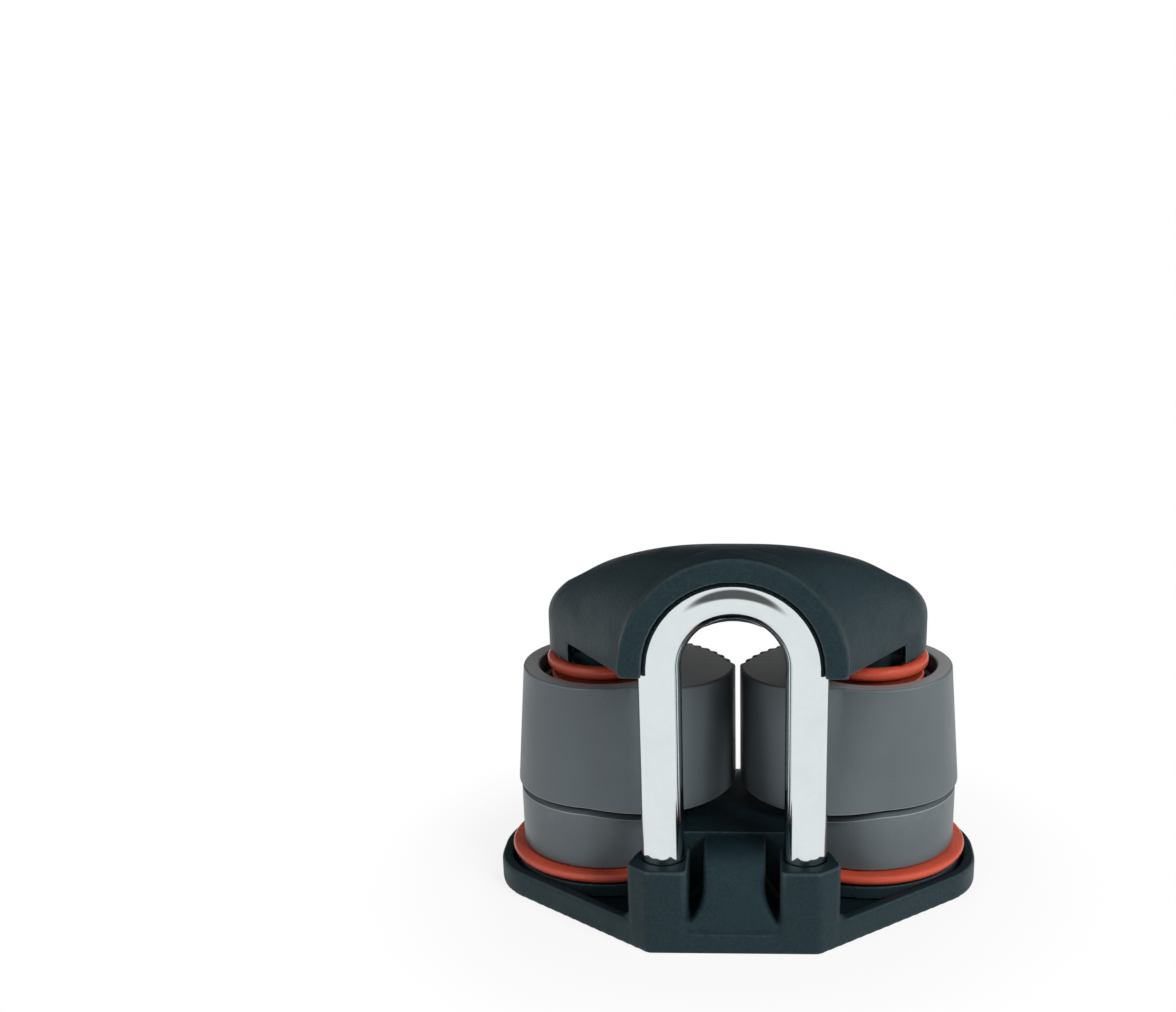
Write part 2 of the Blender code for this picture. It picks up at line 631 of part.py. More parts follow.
def make_rings(side, material):
    """The two bearing rings of one cam: under its foot and in its top recess."""
    word = side_name(side)
    pivot = (side * PIVOT_X, 0.0, 0.0)
    turned(f"lower_ring_{word}",
           ring_profile(LOWER_RING_INNER, LOWER_RING_RADIUS, LOWER_RING_LOW, LOWER_RING_HEIGHT),
           side * PIVOT_X, material, sides=RING_SIDES, origin=pivot)
    turned(f"upper_ring_{word}",
           ring_profile(UPPER_RING_INNER, CAM_RECESS_RADIUS - RUN_GAP, UPPER_RING_LOW, UPPER_RING_HEIGHT),
           side * PIVOT_X, material, sides=RING_SIDES, origin=pivot)


def make_sleeve(side, material):
    """The pivot sleeve that the balls run on, standing in the cleat base."""
    profile = ((SCREW_HOLE_RADIUS, SLEEVE_LOW), (SLEEVE_RADIUS, SLEEVE_LOW),
               (SLEEVE_RADIUS, SLEEVE_TOP - SLEEVE_CHAMFER), (SLEEVE_RADIUS - SLEEVE_CHAMFER, SLEEVE_TOP),
               (SCREW_HOLE_RADIUS, SLEEVE_TOP))
    turned(f"pivot_sleeve_{side_name(side)}", profile, side * PIVOT_X, material, sides=24,
           origin=(side * PIVOT_X, 0.0, 0.0))


def screw_cone_low():
    """Height at which the countersunk head meets the shank, for a 90 degree head."""
    return SCREW_HEAD_TOP - SCREW_HEAD_RIM - (SCREW_HEAD_RADIUS - SCREW_RADIUS)


def make_screw(side, material):
    """A countersunk mounting screw with a hexagon socket, cut off level with the deck."""
    word = side_name(side)
    profile = ((SCREW_RADIUS - SCREW_CHAMFER, SCREW_END), (SCREW_RADIUS, SCREW_END + SCREW_CHAMFER),
               (SCREW_RADIUS, screw_cone_low()), (SCREW_HEAD_RADIUS, SCREW_HEAD_TOP - SCREW_HEAD_RIM),
               (SCREW_HEAD_RADIUS, SCREW_HEAD_TOP))
    screw = solid_turned(f"mounting_screw_{word}", profile, side * PIVOT_X, material, sides=24)
    socket = solid_turned(f"hex_socket_{word}", ((HEX_RADIUS, SCREW_HEAD_TOP - HEX_DEPTH),
                                                 (HEX_RADIUS, FAR)), side * PIVOT_X, sides=6)
    cut(screw, socket)
    return screw


def arch_section(y, half, low, side_z, top, fullness, inset=0.0, steps=22):
    """An upright section across the bridge: straight legs and a superellipse arch over them."""
    angles = np.linspace(0.0, math.pi, steps + 1)
    flat = np.sign(np.cos(angles)) * np.abs(np.cos(angles)) ** (2.0 / fullness)
    x = (half - inset) * flat
    z = side_z + (top - inset - side_z) * np.sin(angles)
    x = np.concatenate(([half - inset], x, [inset - half]))
    z = np.concatenate(([low], z, [low]))
    return np.column_stack((x, np.full(len(x), y), z))


def bridge_half_width(y):
    """Half width of the bridge: round ends about the pivots, joined to the lip by a tangent line."""
    start = np.array((LIP_RADIUS - LIP_STEP, BRIDGE_WING_FRONT_Y))
    to_pivot = np.array((PIVOT_X, 0.0)) - start
    distance = np.linalg.norm(to_pivot)
    heading = math.atan2(to_pivot[1], to_pivot[0]) - math.asin(BRIDGE_END_RADIUS / distance)
    touch_y = start[1] + math.sqrt(distance ** 2 - BRIDGE_END_RADIUS ** 2) * math.sin(heading)
    if y < touch_y:
        return start[0] + (y - start[1]) / math.tan(heading)
    return PIVOT_X + math.sqrt(max(BRIDGE_END_RADIUS ** 2 - y ** 2, 0.0))


def bridge_top(y):
    """Height of the bridge along its middle: level over the bail, falling and rounding to the back.

    The fall from the front to the back crest goes with a power of the share of the way back.
    """
    share = max((y - BRIDGE_WING_FRONT_Y) / (BRIDGE_BACK_Y - BRIDGE_WING_FRONT_Y), 0.0)
    height = BRIDGE_CREST_Z - (BRIDGE_CREST_Z - BRIDGE_BACK_CREST_Z) * share ** BRIDGE_FALL_POWER
    round_start = BRIDGE_BACK_Y - BRIDGE_BACK_ROUND
    if y > round_start:
        height -= BRIDGE_BACK_ROUND - math.sqrt(max(BRIDGE_BACK_ROUND ** 2 - (y - round_start) ** 2, 0.0))
    return height


def bridge_fullness(y):
    """Squareness of the section: round at the lip, fullest half way along the wings."""
    share = (y - BRIDGE_WING_FRONT_Y) / (BRIDGE_BACK_Y - BRIDGE_WING_FRONT_Y)
    return BRIDGE_FULLNESS_FRONT + BRIDGE_FULLNESS_GAIN * math.sin(math.pi * share)


def bridge_skin(name, front, back, low, inset, material=None):
    """Outer form of the bridge between two places along Y, or the same form moved inwards."""
    turns = np.radians(np.linspace(0.0, 90.0, 12))
    sections = []
    for y in front + (back - front) * np.sin(turns):
        sections.append(arch_section(y, bridge_half_width(y), low, BRIDGE_SIDE_Z, bridge_top(y),
                                     bridge_fullness(y), inset))
    return loft(name, sections, material)


def lip_form():
    """The round-edged lip that stands round the bail's arch."""
    sections = []
    for angle in np.radians((90.0, 60.0, 30.0, 0.0)):
        inset = LIP_EDGE * (1.0 - math.cos(angle))
        y = LIP_FRONT_Y + LIP_EDGE * (1.0 - math.sin(angle))
        sections.append(arch_section(y, LIP_RADIUS, LIP_FOOT_Z, BRIDGE_SIDE_Z, BRIDGE_SIDE_Z + LIP_RADIUS,
                                     2.0, inset))
    sections.append(arch_section(LIP_BACK_Y, LIP_RADIUS, LIP_FOOT_Z, BRIDGE_SIDE_Z,
                                 BRIDGE_SIDE_Z + LIP_RADIUS, 2.0))
    return loft("lip_form", sections)


def tunnel_form(name, front, back, wall, low):
    """The rope tunnel through the bridge, or its wall: an arch that sinks and then flares."""
    sections = []
    for y in np.linspace(front, back, 8):
        share = (y - BAIL_Y) / (BRIDGE_BACK_Y - BAIL_Y)
        bell = max((y - TUNNEL_FLARE_START_Y) / (BRIDGE_BACK_Y - TUNNEL_FLARE_START_Y), 0.0) ** 2
        half = TUNNEL_HALF + TUNNEL_FLARE * bell
        roof = TUNNEL_ROOF_FRONT + (TUNNEL_ROOF_BACK - TUNNEL_ROOF_FRONT) * share + TUNNEL_ROOF_FLARE * bell
        sections.append(arch_section(y, half + wall, low, BRIDGE_UNDERSIDE_Z, roof + wall, 2.0, steps=14))
    return loft(name, sections)


def screw_seat(side):
    """Bore, countersink and counterbore for one mounting screw, open to the top."""
    head = SCREW_HEAD_RADIUS + REST_GAP
    cone_low = screw_cone_low() - REST_GAP
    profile = ((SCREW_HOLE_RADIUS, 0.5 * BOSS_LOW), (SCREW_HOLE_RADIUS, cone_low),
               (head, cone_low + head - SCREW_HOLE_RADIUS), (head, FAR))
    return solid_turned(f"screw_seat_{side_name(side)}", profile, side * PIVOT_X, sides=24)


def make_bridge(material):
    """The moulded bridge: an open-bottomed shell with screw bosses, rope tunnel and bail lip."""
    bridge = bridge_skin("fairlead_bridge", BRIDGE_WING_FRONT_Y, BRIDGE_BACK_Y, BRIDGE_FOOT_Z, 0.0, material)
    under = block("underside_form", (-BRIDGE_FOOT_X, -FAR, 0.0), (BRIDGE_FOOT_X, FAR, BRIDGE_UNDERSIDE_Z))
    inside = bridge_skin("shell_inside", BRIDGE_WING_FRONT_Y + BRIDGE_FRONT_WALL,
                         BRIDGE_BACK_Y - BRIDGE_WALL, 0.0, BRIDGE_WALL)
    cut(bridge, under, inside)
    for side in (-1, 1):
        join(bridge, solid_turned(f"boss_form_{side_name(side)}", ((BOSS_RADIUS, BOSS_LOW),
                                                                   (BOSS_RADIUS, BOSS_TOP)),
                                  side * PIVOT_X, sides=24))
    join(bridge, tunnel_form("tunnel_wall", BRIDGE_WING_FRONT_Y + BRIDGE_WALL,
                             BRIDGE_BACK_Y - 0.5 * BRIDGE_WALL, TUNNEL_WALL, BRIDGE_UNDERSIDE_Z))
    join(bridge, lip_form())
    mouth_top = BRIDGE_SIDE_Z + LIP_MOUTH_HALF
    mouth = loft("lip_mouth", [arch_section(y, LIP_MOUTH_HALF, 0.0, BRIDGE_SIDE_Z, mouth_top, 2.0)
                               for y in (BAIL_Y - 2.0 * BAIL_WIRE_RADIUS, BAIL_Y)])
    channel = swept_wire("bail_channel", bail_path(0.5 * BAIL_ARC_Z), BAIL_WIRE_RADIUS + SEAT_GAP,
                         WIRE_SIDES)
    tunnel = tunnel_form("tunnel_bore", BAIL_Y - SEAT_GAP, BRIDGE_BACK_Y + REST_GAP, 0.0, 0.0)
    cut(bridge, mouth, channel, tunnel, screw_seat(-1), screw_seat(1))
    return bridge


def main():
    """Build every piece."""
    clear_scene()
    black = make_material("black_moulding", (0.016, 0.022, 0.026), 0.55, 0.0)
    grey = make_material("hard_coat_grey", (0.115, 0.128, 0.135), 0.42, 0.6)
    orange = make_material("orange_ring", (0.64, 0.10, 0.03), 0.3, 0.0)
    steel = make_material("polished_steel", (0.75, 0.76, 0.77), 0.08, 1.0)
    dull = make_material("plain_steel", (0.55, 0.56, 0.57), 0.28, 1.0)
    make_fairlead_base(black)
    make_cleat_base(black)
    make_bail(steel)
    make_bridge(black)
    for side in (-1, 1):
        make_cam(side, grey)
        make_rings(side, orange)
        make_sleeve(side, dull)
        make_spring(side, dull)
        for level in range(3):
            make_ball_row(side, level, dull)
        make_screw(side, steel)


main()
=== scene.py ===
"""Looks of the angle fairlead: its pieces as fine surfaces, their finishes, and a plain studio.

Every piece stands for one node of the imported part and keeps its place. Lengths are in metres, and the
default sizes are written as millimetres. X runs to the right, Y to the back and Z up.
"""

import json
import math

import bmesh
import bpy
import numpy as np
from bpy.props import FloatProperty, FloatVectorProperty, IntProperty, PointerProperty
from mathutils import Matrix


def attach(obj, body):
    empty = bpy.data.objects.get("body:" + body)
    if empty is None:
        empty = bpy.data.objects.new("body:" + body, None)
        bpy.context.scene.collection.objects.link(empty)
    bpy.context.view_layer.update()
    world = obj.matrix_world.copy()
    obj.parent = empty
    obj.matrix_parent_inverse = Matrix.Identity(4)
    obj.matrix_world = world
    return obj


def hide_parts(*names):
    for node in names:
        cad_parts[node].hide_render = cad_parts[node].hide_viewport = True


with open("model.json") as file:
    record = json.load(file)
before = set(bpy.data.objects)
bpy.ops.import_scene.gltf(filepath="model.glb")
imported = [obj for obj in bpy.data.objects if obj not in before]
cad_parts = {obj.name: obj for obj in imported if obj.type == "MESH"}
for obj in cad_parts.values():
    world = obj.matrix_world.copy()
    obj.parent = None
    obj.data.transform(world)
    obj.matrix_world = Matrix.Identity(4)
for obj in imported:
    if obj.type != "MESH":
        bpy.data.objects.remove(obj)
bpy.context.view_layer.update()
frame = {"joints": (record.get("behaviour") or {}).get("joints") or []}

bl_info = {
    "name": "Angle fairlead",
    "version": (1, 0, 0),
    "blender": (4, 5, 0),
    "location": "View3D > Sidebar > Fairlead",
    "description": "Makes the pieces, finishes and studio of an angle fairlead on a two-cam cleat",
    "category": "Add Mesh",
}

MM = 0.001
TURN = 2.0 * math.pi
PIVOT_X = abs(frame["joints"][0]["pos_m"][0])
SIDES = (("left", -1), ("right", 1))
LEVELS = ("lower", "middle", "upper")
LEAST_RADIUS = 0.02 * MM
LARGE_RADIUS = 8.0 * MM
SHARP_ANGLE = math.radians(32.0)
QUARTER = np.linspace(0.0, 0.5 * math.pi, 7)
WHITE = (1.0, 1.0, 1.0, 1.0)


# Properties

def length(label, millimetres, words):
    """A length in metres whose default is written in millimetres."""
    return FloatProperty(name=label, description=words, default=millimetres * MM, unit="LENGTH",
                         precision=5)


def turn(label, degrees, words):
    """An angle in radians whose default is written in degrees."""
    return FloatProperty(name=label, description=words, default=math.radians(degrees), unit="ROTATION")


def share(label, value, words):
    """A plain number, such as a share or a power."""
    return FloatProperty(name=label, description=words, default=value)


def colour(label, value, words):
    """A linear colour."""
    return FloatVectorProperty(name=label, description=words, default=value, subtype="COLOR", min=0.0,
                               max=1.0)


class FairleadGaps(bpy.types.PropertyGroup):
    """Clearances between the pieces."""

    rest: length("Resting gap", 0.3, "Between pieces that rest on or beside each other")
    seat: length("Seat gap", 0.12, "Round the bail in its bores and channel")
    running: length("Running gap", 0.3, "Between a cam and its upper ring")
    ring: length("Ring gap", 0.15, "Between the lower ring and the foot of the cam")


class FairleadBaseSizes(bpy.types.PropertyGroup):
    """Sizes of the moulded base with its posts and tongue."""

    front_y: length("Front", -27.2, "Where the straight front of the base lies")
    front_half: length("Half front", 11.7, "Half the length of the straight front")
    slope: turn("Flank slope", 40.0, "How far the flanks turn from the front")
    end_radius: length("End radius", 16.2, "Radius of the round ends behind the pivots")
    shoulder_share: share("Shoulder share", 0.69, "Share of the side that the shoulder's curve takes")
    corner: length("Corner radius", 1.6, "Radius of the front corners")
    wall_height: length("Wall height", 3.9, "Height of the tray's wall")
    wall: length("Wall", 1.7, "Thickness of the tray's wall")
    floor: length("Floor", 1.6, "Thickness of the tray's floor")
    edge: length("Edge radius", 0.5, "Rounding of the upper edges")
    post_inner: length("Post inside", 6.3, "Inner face of a post, from the middle")
    post_run: length("Post run", 3.0, "How far a post goes along the flank")
    post_back: length("Post back", -18.7, "Back face of the posts")
    post_top: length("Post top", 12.4, "Height of the posts")
    post_corner: length("Post corner", 1.0, "Radius of the upright corners of a post")
    post_round: length("Post round", 3.4, "Radius of the outer back corner of a post, round the bail")
    post_side: length("Post side", 12.8, "Where a post's back meets its slanted side, from the middle")
    post_foot: length("Post foot", 1.3, "Radius of the fillet where a post meets the wall")
    mouth_floor: length("Mouth floor", 3.0, "Height of the front edge between the posts")
    tongue_half: length("Half tongue", 4.3, "Half the width of the rope tongue")
    tongue_flare: length("Tongue flare", 3.1, "How far the foot of the tongue spreads")
    tongue_flare_height: length("Flare height", 5.5, "Height over which the tongue spreads")
    tongue_toe: length("Tongue toe", -26.5, "Front of the tongue")
    tongue_back: length("Tongue back", -16.8, "Back of the tongue")
    tongue_crest: length("Tongue crest", 13.4, "Height that the tongue's ellipse reaches")
    tongue_arc: turn("Tongue arc", 78.0, "How much of the quarter ellipse the tongue takes")
    tongue_edge: length("Tongue edge", 1.0, "Rounding of the tongue's edges")


class FairleadCleatSizes(bpy.types.PropertyGroup):
    """Sizes of the cleat base, the seat of both cams."""

    sleeve_recess: length("Sleeve recess", 1.0, "Depth of the recess for a pivot sleeve")
    ramp_half: length("Half ramp", 8.2, "Half the width of the rope ramp")
    ramp_fall_y: length("Ramp fall", 2.0, "Where the ramp begins to fall")
    ramp_top: length("Ramp top", 13.5, "Height of the ramp between the cams")
    ramp_back_top: length("Ramp back top", 6.5, "Height of the ramp at its back")
    ramp_edge: length("Ramp edge", 1.2, "Rounding of the ramp's long edges")


class FairleadBailSizes(bpy.types.PropertyGroup):
    """Sizes of the wire bail."""

    wire: length("Wire radius", 2.9, "Radius of the bail's wire")
    half_span: length("Half span", 9.7, "Half the distance between the legs")
    y: length("Place", -22.2, "Where the bail stands")
    arc_z: length("Arch centre", 39.9, "Height of the centre of the arch")


class FairleadCamSizes(bpy.types.PropertyGroup):
    """Sizes of the cams."""

    top: length("Top", 32.9, "Height of the cam's top")
    step_z: length("Step", 15.3, "Height of the step between the tiers")
    lower: length("Lower radius", 13.0, "Radius of the plain lower tier")
    skirt: length("Skirt radius", 13.3, "Plain radius of the toothed tier at its foot")
    rim: length("Rim radius", 11.9, "Plain radius of the toothed tier at its top")
    tip_gap: length("Tip gap", 0.6, "Between the tips of the two closed cams")
    edge: length("Edge", 0.4, "Rounding of the cam's edges")
    groove: length("Groove", 1.0, "Depth and height of the groove under the step")
    groove_drop: share("Groove drop", 0.41, "Drop of the groove as a share of the overhang above it")
    spiral: turn("Spiral", 66.0, "How far the spiral runs before the tip")
    tip: turn("Tip", 183.0, "Where the tip stands, 180 degrees being the other cam")
    nose_low: turn("Nose at foot", 100.0, "How far the nose reaches past the tip, at the step")
    nose_top: turn("Nose at top", 68.0, "How far the nose reaches past the tip, at the top")
    bore: length("Bore radius", 8.8, "Radius of the bore for the balls")
    bore_step: length("Bore step", 0.5, "Height of the cone over the spring room")
    spring_room: length("Spring room", 9.5, "Radius of the room for the spring")
    recess: length("Recess radius", 9.6, "Radius of the recess for the upper ring")
    recess_depth: length("Recess depth", 2.7, "Depth of the recess for the upper ring")
    teeth: IntProperty(name="Teeth", description="Number of teeth on the spiral", default=10, min=1)
    tooth_depth: length("Tooth depth", 0.75, "Depth of the gaps between the teeth")
    toothed: share("Toothed share", 0.92, "Share of the spiral that has teeth")


class FairleadBearingSizes(bpy.types.PropertyGroup):
    """Sizes of the rings, sleeves, balls, springs and screws."""

    sleeve: length("Sleeve radius", 5.2, "Radius of the pivot sleeve")
    sleeve_proud: length("Sleeve proud", 0.5, "How far the sleeve stands above the cam")
    ball: length("Ball radius", 1.5, "Radius of the balls")
    balls: IntProperty(name="Balls", description="Number of balls in each row", default=10, min=3)
    cage: length("Cage radius", 0.55, "Radius of the cage's wire")
    row_spacing: length("Row spacing", 7.4, "Height between the rows of balls")
    row_first: length("First row", 11.2, "Height of the lowest row")
    spring: length("Spring radius", 7.2, "Radius of the torsion spring")
    spring_wire: length("Spring wire", 0.55, "Radius of the spring's wire")
    spring_pitch: length("Spring pitch", 1.35, "Rise of the spring for each turn")
    spring_turns: share("Spring turns", 1.75, "Number of turns of the spring")
    spring_leg: length("Spring leg", 2.6, "Run of the spring's upper leg")
    spring_foot: length("Spring foot", 0.4, "Gap under the spring's lower leg")
    lower_ring: length("Lower ring radius", 14.75, "Outer radius of the lower ring")
    lower_ring_inner: length("Lower ring inside", 11.2, "Inner radius of the lower ring")
    lower_ring_height: length("Lower ring height", 1.4, "Height of the lower ring")
    upper_ring: length("Upper ring radius", 8.4, "Outer radius of the upper ring's bead")
    upper_ring_inner: length("Upper ring inside", 6.6, "Inner radius of the upper ring")
    upper_ring_bead: length("Bead height", 1.9, "Height of the upper ring's bead")
    upper_ring_top: length("Upper ring top", 34.6, "Height of the top of the bead")
    upper_ring_seat: length("Upper ring seat", 1.2, "Height of the flat seat under the bead")
    screw: length("Screw radius", 2.4, "Radius of the mounting screw")
    head: length("Head radius", 4.8, "Radius of the countersunk head")
    head_top: length("Head top", 41.0, "Height of the top of the head")
    head_rim: length("Head rim", 0.3, "Height of the head's upright rim")
    hexagon: length("Hexagon", 1.75, "Radius of the socket's corners")
    hexagon_depth: length("Socket depth", 1.8, "Depth of the hexagon socket")
    screw_end: length("Screw end", 0.2, "Height of the lower end of the screw")


class FairleadBridgeSizes(bpy.types.PropertyGroup):
    """Sizes of the moulded bridge."""

    end_radius: length("End radius", 8.0, "Radius of the round ends about the screws")
    foot_z: length("Foot", 35.2, "Lowest edge of the outer feet")
    underside_z: length("Underside", 38.0, "Lower edge between the feet")
    foot_x: length("Foot place", 23.5, "Where the outer feet begin")
    side_z: length("Side height", 40.2, "Where the upright sides turn into the arch")
    crest_z: length("Crest", 55.0, "Height of the bridge over the bail")
    back_crest_z: length("Back crest", 43.9, "Height of the bridge at its back")
    fall: share("Fall", 1.9, "Power of the fall from front to back")
    fullness: share("Fullness", 2.0, "Power of the arch at the lip, 2 being an ellipse")
    fullness_gain: share("Fullness gain", 1.15, "What the power gains half way along the wings")
    wing_front: length("Wing front", -21.6, "Front of the wings")
    back_y: length("Back", 8.0, "Back of the bridge")
    back_round: length("Back rounding", 3.6, "Rounding of the back edge")
    wall: length("Wall", 2.6, "Thickness of the shell")
    front_wall: length("Front wall", 5.7, "Thickness of the shell behind the lip")
    lip: length("Lip radius", 15.1, "Outer radius of the lip")
    lip_step: length("Lip step", 0.6, "How far the lip stands out from the wings")
    lip_front: length("Lip front", -24.9, "Front face of the lip")
    lip_back: length("Lip back", -20.0, "Back of the lip")
    lip_foot: length("Lip foot", 39.1, "Lower end of the lip")
    lip_edge: length("Lip edge", 0.6, "Rounding of the lip")
    mouth: length("Mouth", 11.9, "Half width of the mouth in the lip")
    tunnel: length("Tunnel", 8.4, "Half width of the rope tunnel")
    tunnel_front: length("Tunnel front roof", 46.1, "Height of the tunnel at its front")
    tunnel_back: length("Tunnel back roof", 41.6, "Height of the tunnel at its back")
    tunnel_flare: length("Tunnel flare", 2.2, "How far the tunnel widens at its back")
    tunnel_roof_flare: length("Tunnel roof flare", 0.9, "How far the roof rises at its back")
    tunnel_flare_y: length("Flare start", 3.0, "Where the tunnel begins to widen")
    tunnel_wall: length("Tunnel wall", 2.2, "Thickness of the tunnel's wall")
    boss: length("Boss radius", 5.6, "Radius of the screw bosses")
    boss_top: length("Boss top", 44.0, "Height of the screw bosses")


class FairleadFinishes(bpy.types.PropertyGroup):
    """Colours of the finishes."""

    black: colour("Black", (0.0072, 0.0138, 0.0165), "Ground of the black moulding")
    # Painted shade: faces of the black moulding that look up take this darker colour.
    black_painted_top_shade: colour("Black above", (0.0035, 0.0085, 0.011), "Its faces that look up, which are darker")
    # Rubbed edges of the black moulding, light enough to be a painted edge highlight as well.
    black_worn_and_highlight: colour("Worn black and edge highlight", (0.075, 0.09, 0.1), "Its rubbed edges and painted edge highlight")
    grey: colour("Hard coat", (0.083, 0.1, 0.109), "Ground of the hard coated cams")
    # Painted light from above: faces of the cams that look up take this lighter colour.
    grey_painted_top_light: colour("Hard coat with painted top light", (0.24, 0.245, 0.25), "Upper faces, lighter as painted light from above")
    grey_worn: colour("Worn hard coat", (0.42, 0.43, 0.44), "Metal where the coat has worn thin")
    orange: colour("Orange", (0.37, 0.052, 0.026), "Ground of the bearing rings")
    orange_worn: colour("Rubbed orange", (0.72, 0.2, 0.11), "Their rubbed edges")
    steel: colour("Polished steel", (0.71, 0.76, 0.775), "Polished stainless")
    dull: colour("Plain steel", (0.55, 0.56, 0.57), "Plain stainless")
    backdrop: colour("Backdrop", (1.0, 1.0, 1.0), "The backdrop and the floor")


# Meshes

def grid_faces(rows, columns, close_rows, close_columns):
    """Quads of a grid of points: each joins a point, the next in its row, and the two after them."""
    row = np.arange(rows if close_rows else rows - 1)[:, None]
    column = np.arange(columns if close_columns else columns - 1)[None, :]
    next_row = (row + 1) % rows
    next_column = (column + 1) % columns
    corners = (row * columns + column, row * columns + next_column,
               next_row * columns + next_column, next_row * columns + column)
    return np.stack(corners, axis=-1).reshape(-1, 4)


def clean_mesh(name, points, faces, caps=()):
    """A mesh with doubled points merged, poles closed and faces turned outwards."""
    raw = bpy.data.meshes.new(name)
    raw.from_pydata(points.tolist(), [], faces.tolist() + [list(cap) for cap in caps])
    work = bmesh.new()
    work.from_mesh(raw)
    bmesh.ops.remove_doubles(work, verts=work.verts, dist=1e-7)
    bmesh.ops.dissolve_degenerate(work, edges=work.edges, dist=1e-7)
    bmesh.ops.recalc_face_normals(work, faces=work.faces)
    work.to_mesh(raw)
    work.free()
    raw.shade_smooth()
    return raw


def link(name, mesh):
    """An object for a mesh, at the origin."""
    thing = bpy.data.objects.new(name, mesh)
    bpy.context.scene.collection.objects.link(thing)
    return thing


def surface(name, points, close_rows=False, close_columns=True):
    """A piece from a grid of points, rows by columns."""
    rows, columns = points.shape[:2]
    faces = grid_faces(rows, columns, close_rows, close_columns)
    return link(name, clean_mesh(name, points.reshape(-1, 3), faces))


def solid(name, loops):
    """A closed form through a row of closed loops, with a flat cap at each end."""
    rows, columns = loops.shape[:2]
    faces = grid_faces(rows, columns, False, True)
    first = range(columns)
    last = range((rows - 1) * columns, rows * columns)
    return link(name, clean_mesh(name, loops.reshape(-1, 3), faces, (first, last)))


def round_profile(corners, radii, steps=8):
    """Points of an open or closed profile whose inner corners become arcs of the given radii.

    At each corner the arc touches both sides at the radius times the tangent of half the turn.
    """
    spots = np.asarray(corners, dtype=float)
    parts = [spots[:1]]
    for before, corner, after, radius in zip(spots[:-2], spots[1:-1], spots[2:], radii):
        arriving = (corner - before) / np.linalg.norm(corner - before)
        leaving = (after - corner) / np.linalg.norm(after - corner)
        bend = math.atan2(arriving[0] * leaving[1] - arriving[1] * leaving[0], arriving @ leaving)
        if radius == 0.0 or bend == 0.0:
            parts.append(corner[None, :])
            continue
        reach = radius * math.tan(abs(bend) / 2.0)
        normal = math.copysign(1.0, bend) * np.array((-arriving[1], arriving[0]))
        centre = corner - reach * arriving + radius * normal
        angle = np.linspace(0.0, abs(bend), steps + 1)[:, None]
        parts.append(centre + radius * (np.sin(angle) * arriving - np.cos(angle) * normal))
    parts.append(spots[-1:])
    return np.vstack(parts)


def turned(profile, centre_x, sides=192):
    """A profile of radius and height carried round a vertical axis, one row for each of its points."""
    angle = np.linspace(0.0, TURN, sides, endpoint=False)[None, :]
    radius = profile[:, 0, None]
    height = np.broadcast_to(profile[:, 1, None], (len(profile), sides))
    return np.stack((centre_x + radius * np.cos(angle), radius * np.sin(angle), height), axis=-1)


def carried(path, radius, sides=48, crown=6):
    """A circle of the given radius carried along a path, its ends rounded to a pole.

    The ring at each point lies across the path's direction there. It is turned to the ring before it
    by taking away the share of the last side vector that runs along the path.
    """
    ahead = np.gradient(path, axis=0)
    ahead /= np.linalg.norm(ahead, axis=1)[:, None]
    across = np.empty_like(path)
    side = np.cross(ahead[0], (0.3, 1.0, 0.2))
    for index, tangent in enumerate(ahead):
        side = side - tangent * (side @ tangent)
        side /= np.linalg.norm(side)
        across[index] = side
    upward = np.cross(ahead, across)
    angle = np.linspace(0.0, TURN, sides, endpoint=False)[None, :, None]
    rings = np.cos(angle) * across[:, None] + np.sin(angle) * upward[:, None]
    tube = path[:, None] + radius * rings
    swell = np.linspace(0.0, math.pi / 2.0, crown)[:, None, None]
    soft = 0.25 * radius
    reach = radius - soft + soft * np.sin(swell)
    start = path[0] + reach * rings[0] - soft * np.cos(swell) * ahead[0]
    end = path[-1] + reach * rings[-1] + soft * np.cos(swell) * ahead[-1]
    first = np.broadcast_to(start[0].mean(axis=0), (1, sides, 3))
    last = np.broadcast_to(end[0].mean(axis=0), (1, sides, 3))
    return np.concatenate((first, start, tube[1:-1], end[::-1], last))


def evenly_along(path, step):
    """Points at even distances along a path."""
    runs = np.concatenate(([0.0], np.cumsum(np.linalg.norm(np.diff(path, axis=0), axis=1))))
    stations = np.linspace(0.0, runs[-1], max(int(runs[-1] / step), 2) + 1)
    return np.column_stack([np.interp(stations, runs, path[:, axis]) for axis in range(3)])


def outline_of(corners, inset=0.0, steps=10):
    """Points of a polygon whose corners (x, y, radius) are rounded, moved inwards by the inset."""
    count = len(corners)
    spots = np.array([corner[:2] for corner in corners])
    ahead = np.roll(spots, -1, axis=0) - spots
    ahead /= np.linalg.norm(ahead, axis=1)[:, None]
    inward = np.column_stack((-ahead[:, 1], ahead[:, 0]))
    points = []
    for index in range(count):
        before, after = ahead[index - 1], ahead[index]
        bend = math.atan2(before[0] * after[1] - before[1] * after[0], before @ after)
        corner = spots[index] + inset * (inward[index - 1] - math.tan(bend / 2.0) * before)
        radius = max(corners[index][2] - math.copysign(inset, bend), LEAST_RADIUS)
        touch = corner - radius * abs(math.tan(bend / 2.0)) * before
        centre = touch + math.copysign(radius, bend) * inward[index - 1]
        start = math.atan2(*(touch - centre)[::-1])
        fineness = 4 * steps if radius > LARGE_RADIUS else steps
        angle = start + bend * np.linspace(0.0, 1.0, fineness + 1)
        points.append(centre + radius * np.column_stack((np.cos(angle), np.sin(angle))))
    return np.vstack(points)


def raised(outline, height):
    """A flat outline lifted to one height."""
    return np.column_stack((outline, np.full(len(outline), height)))


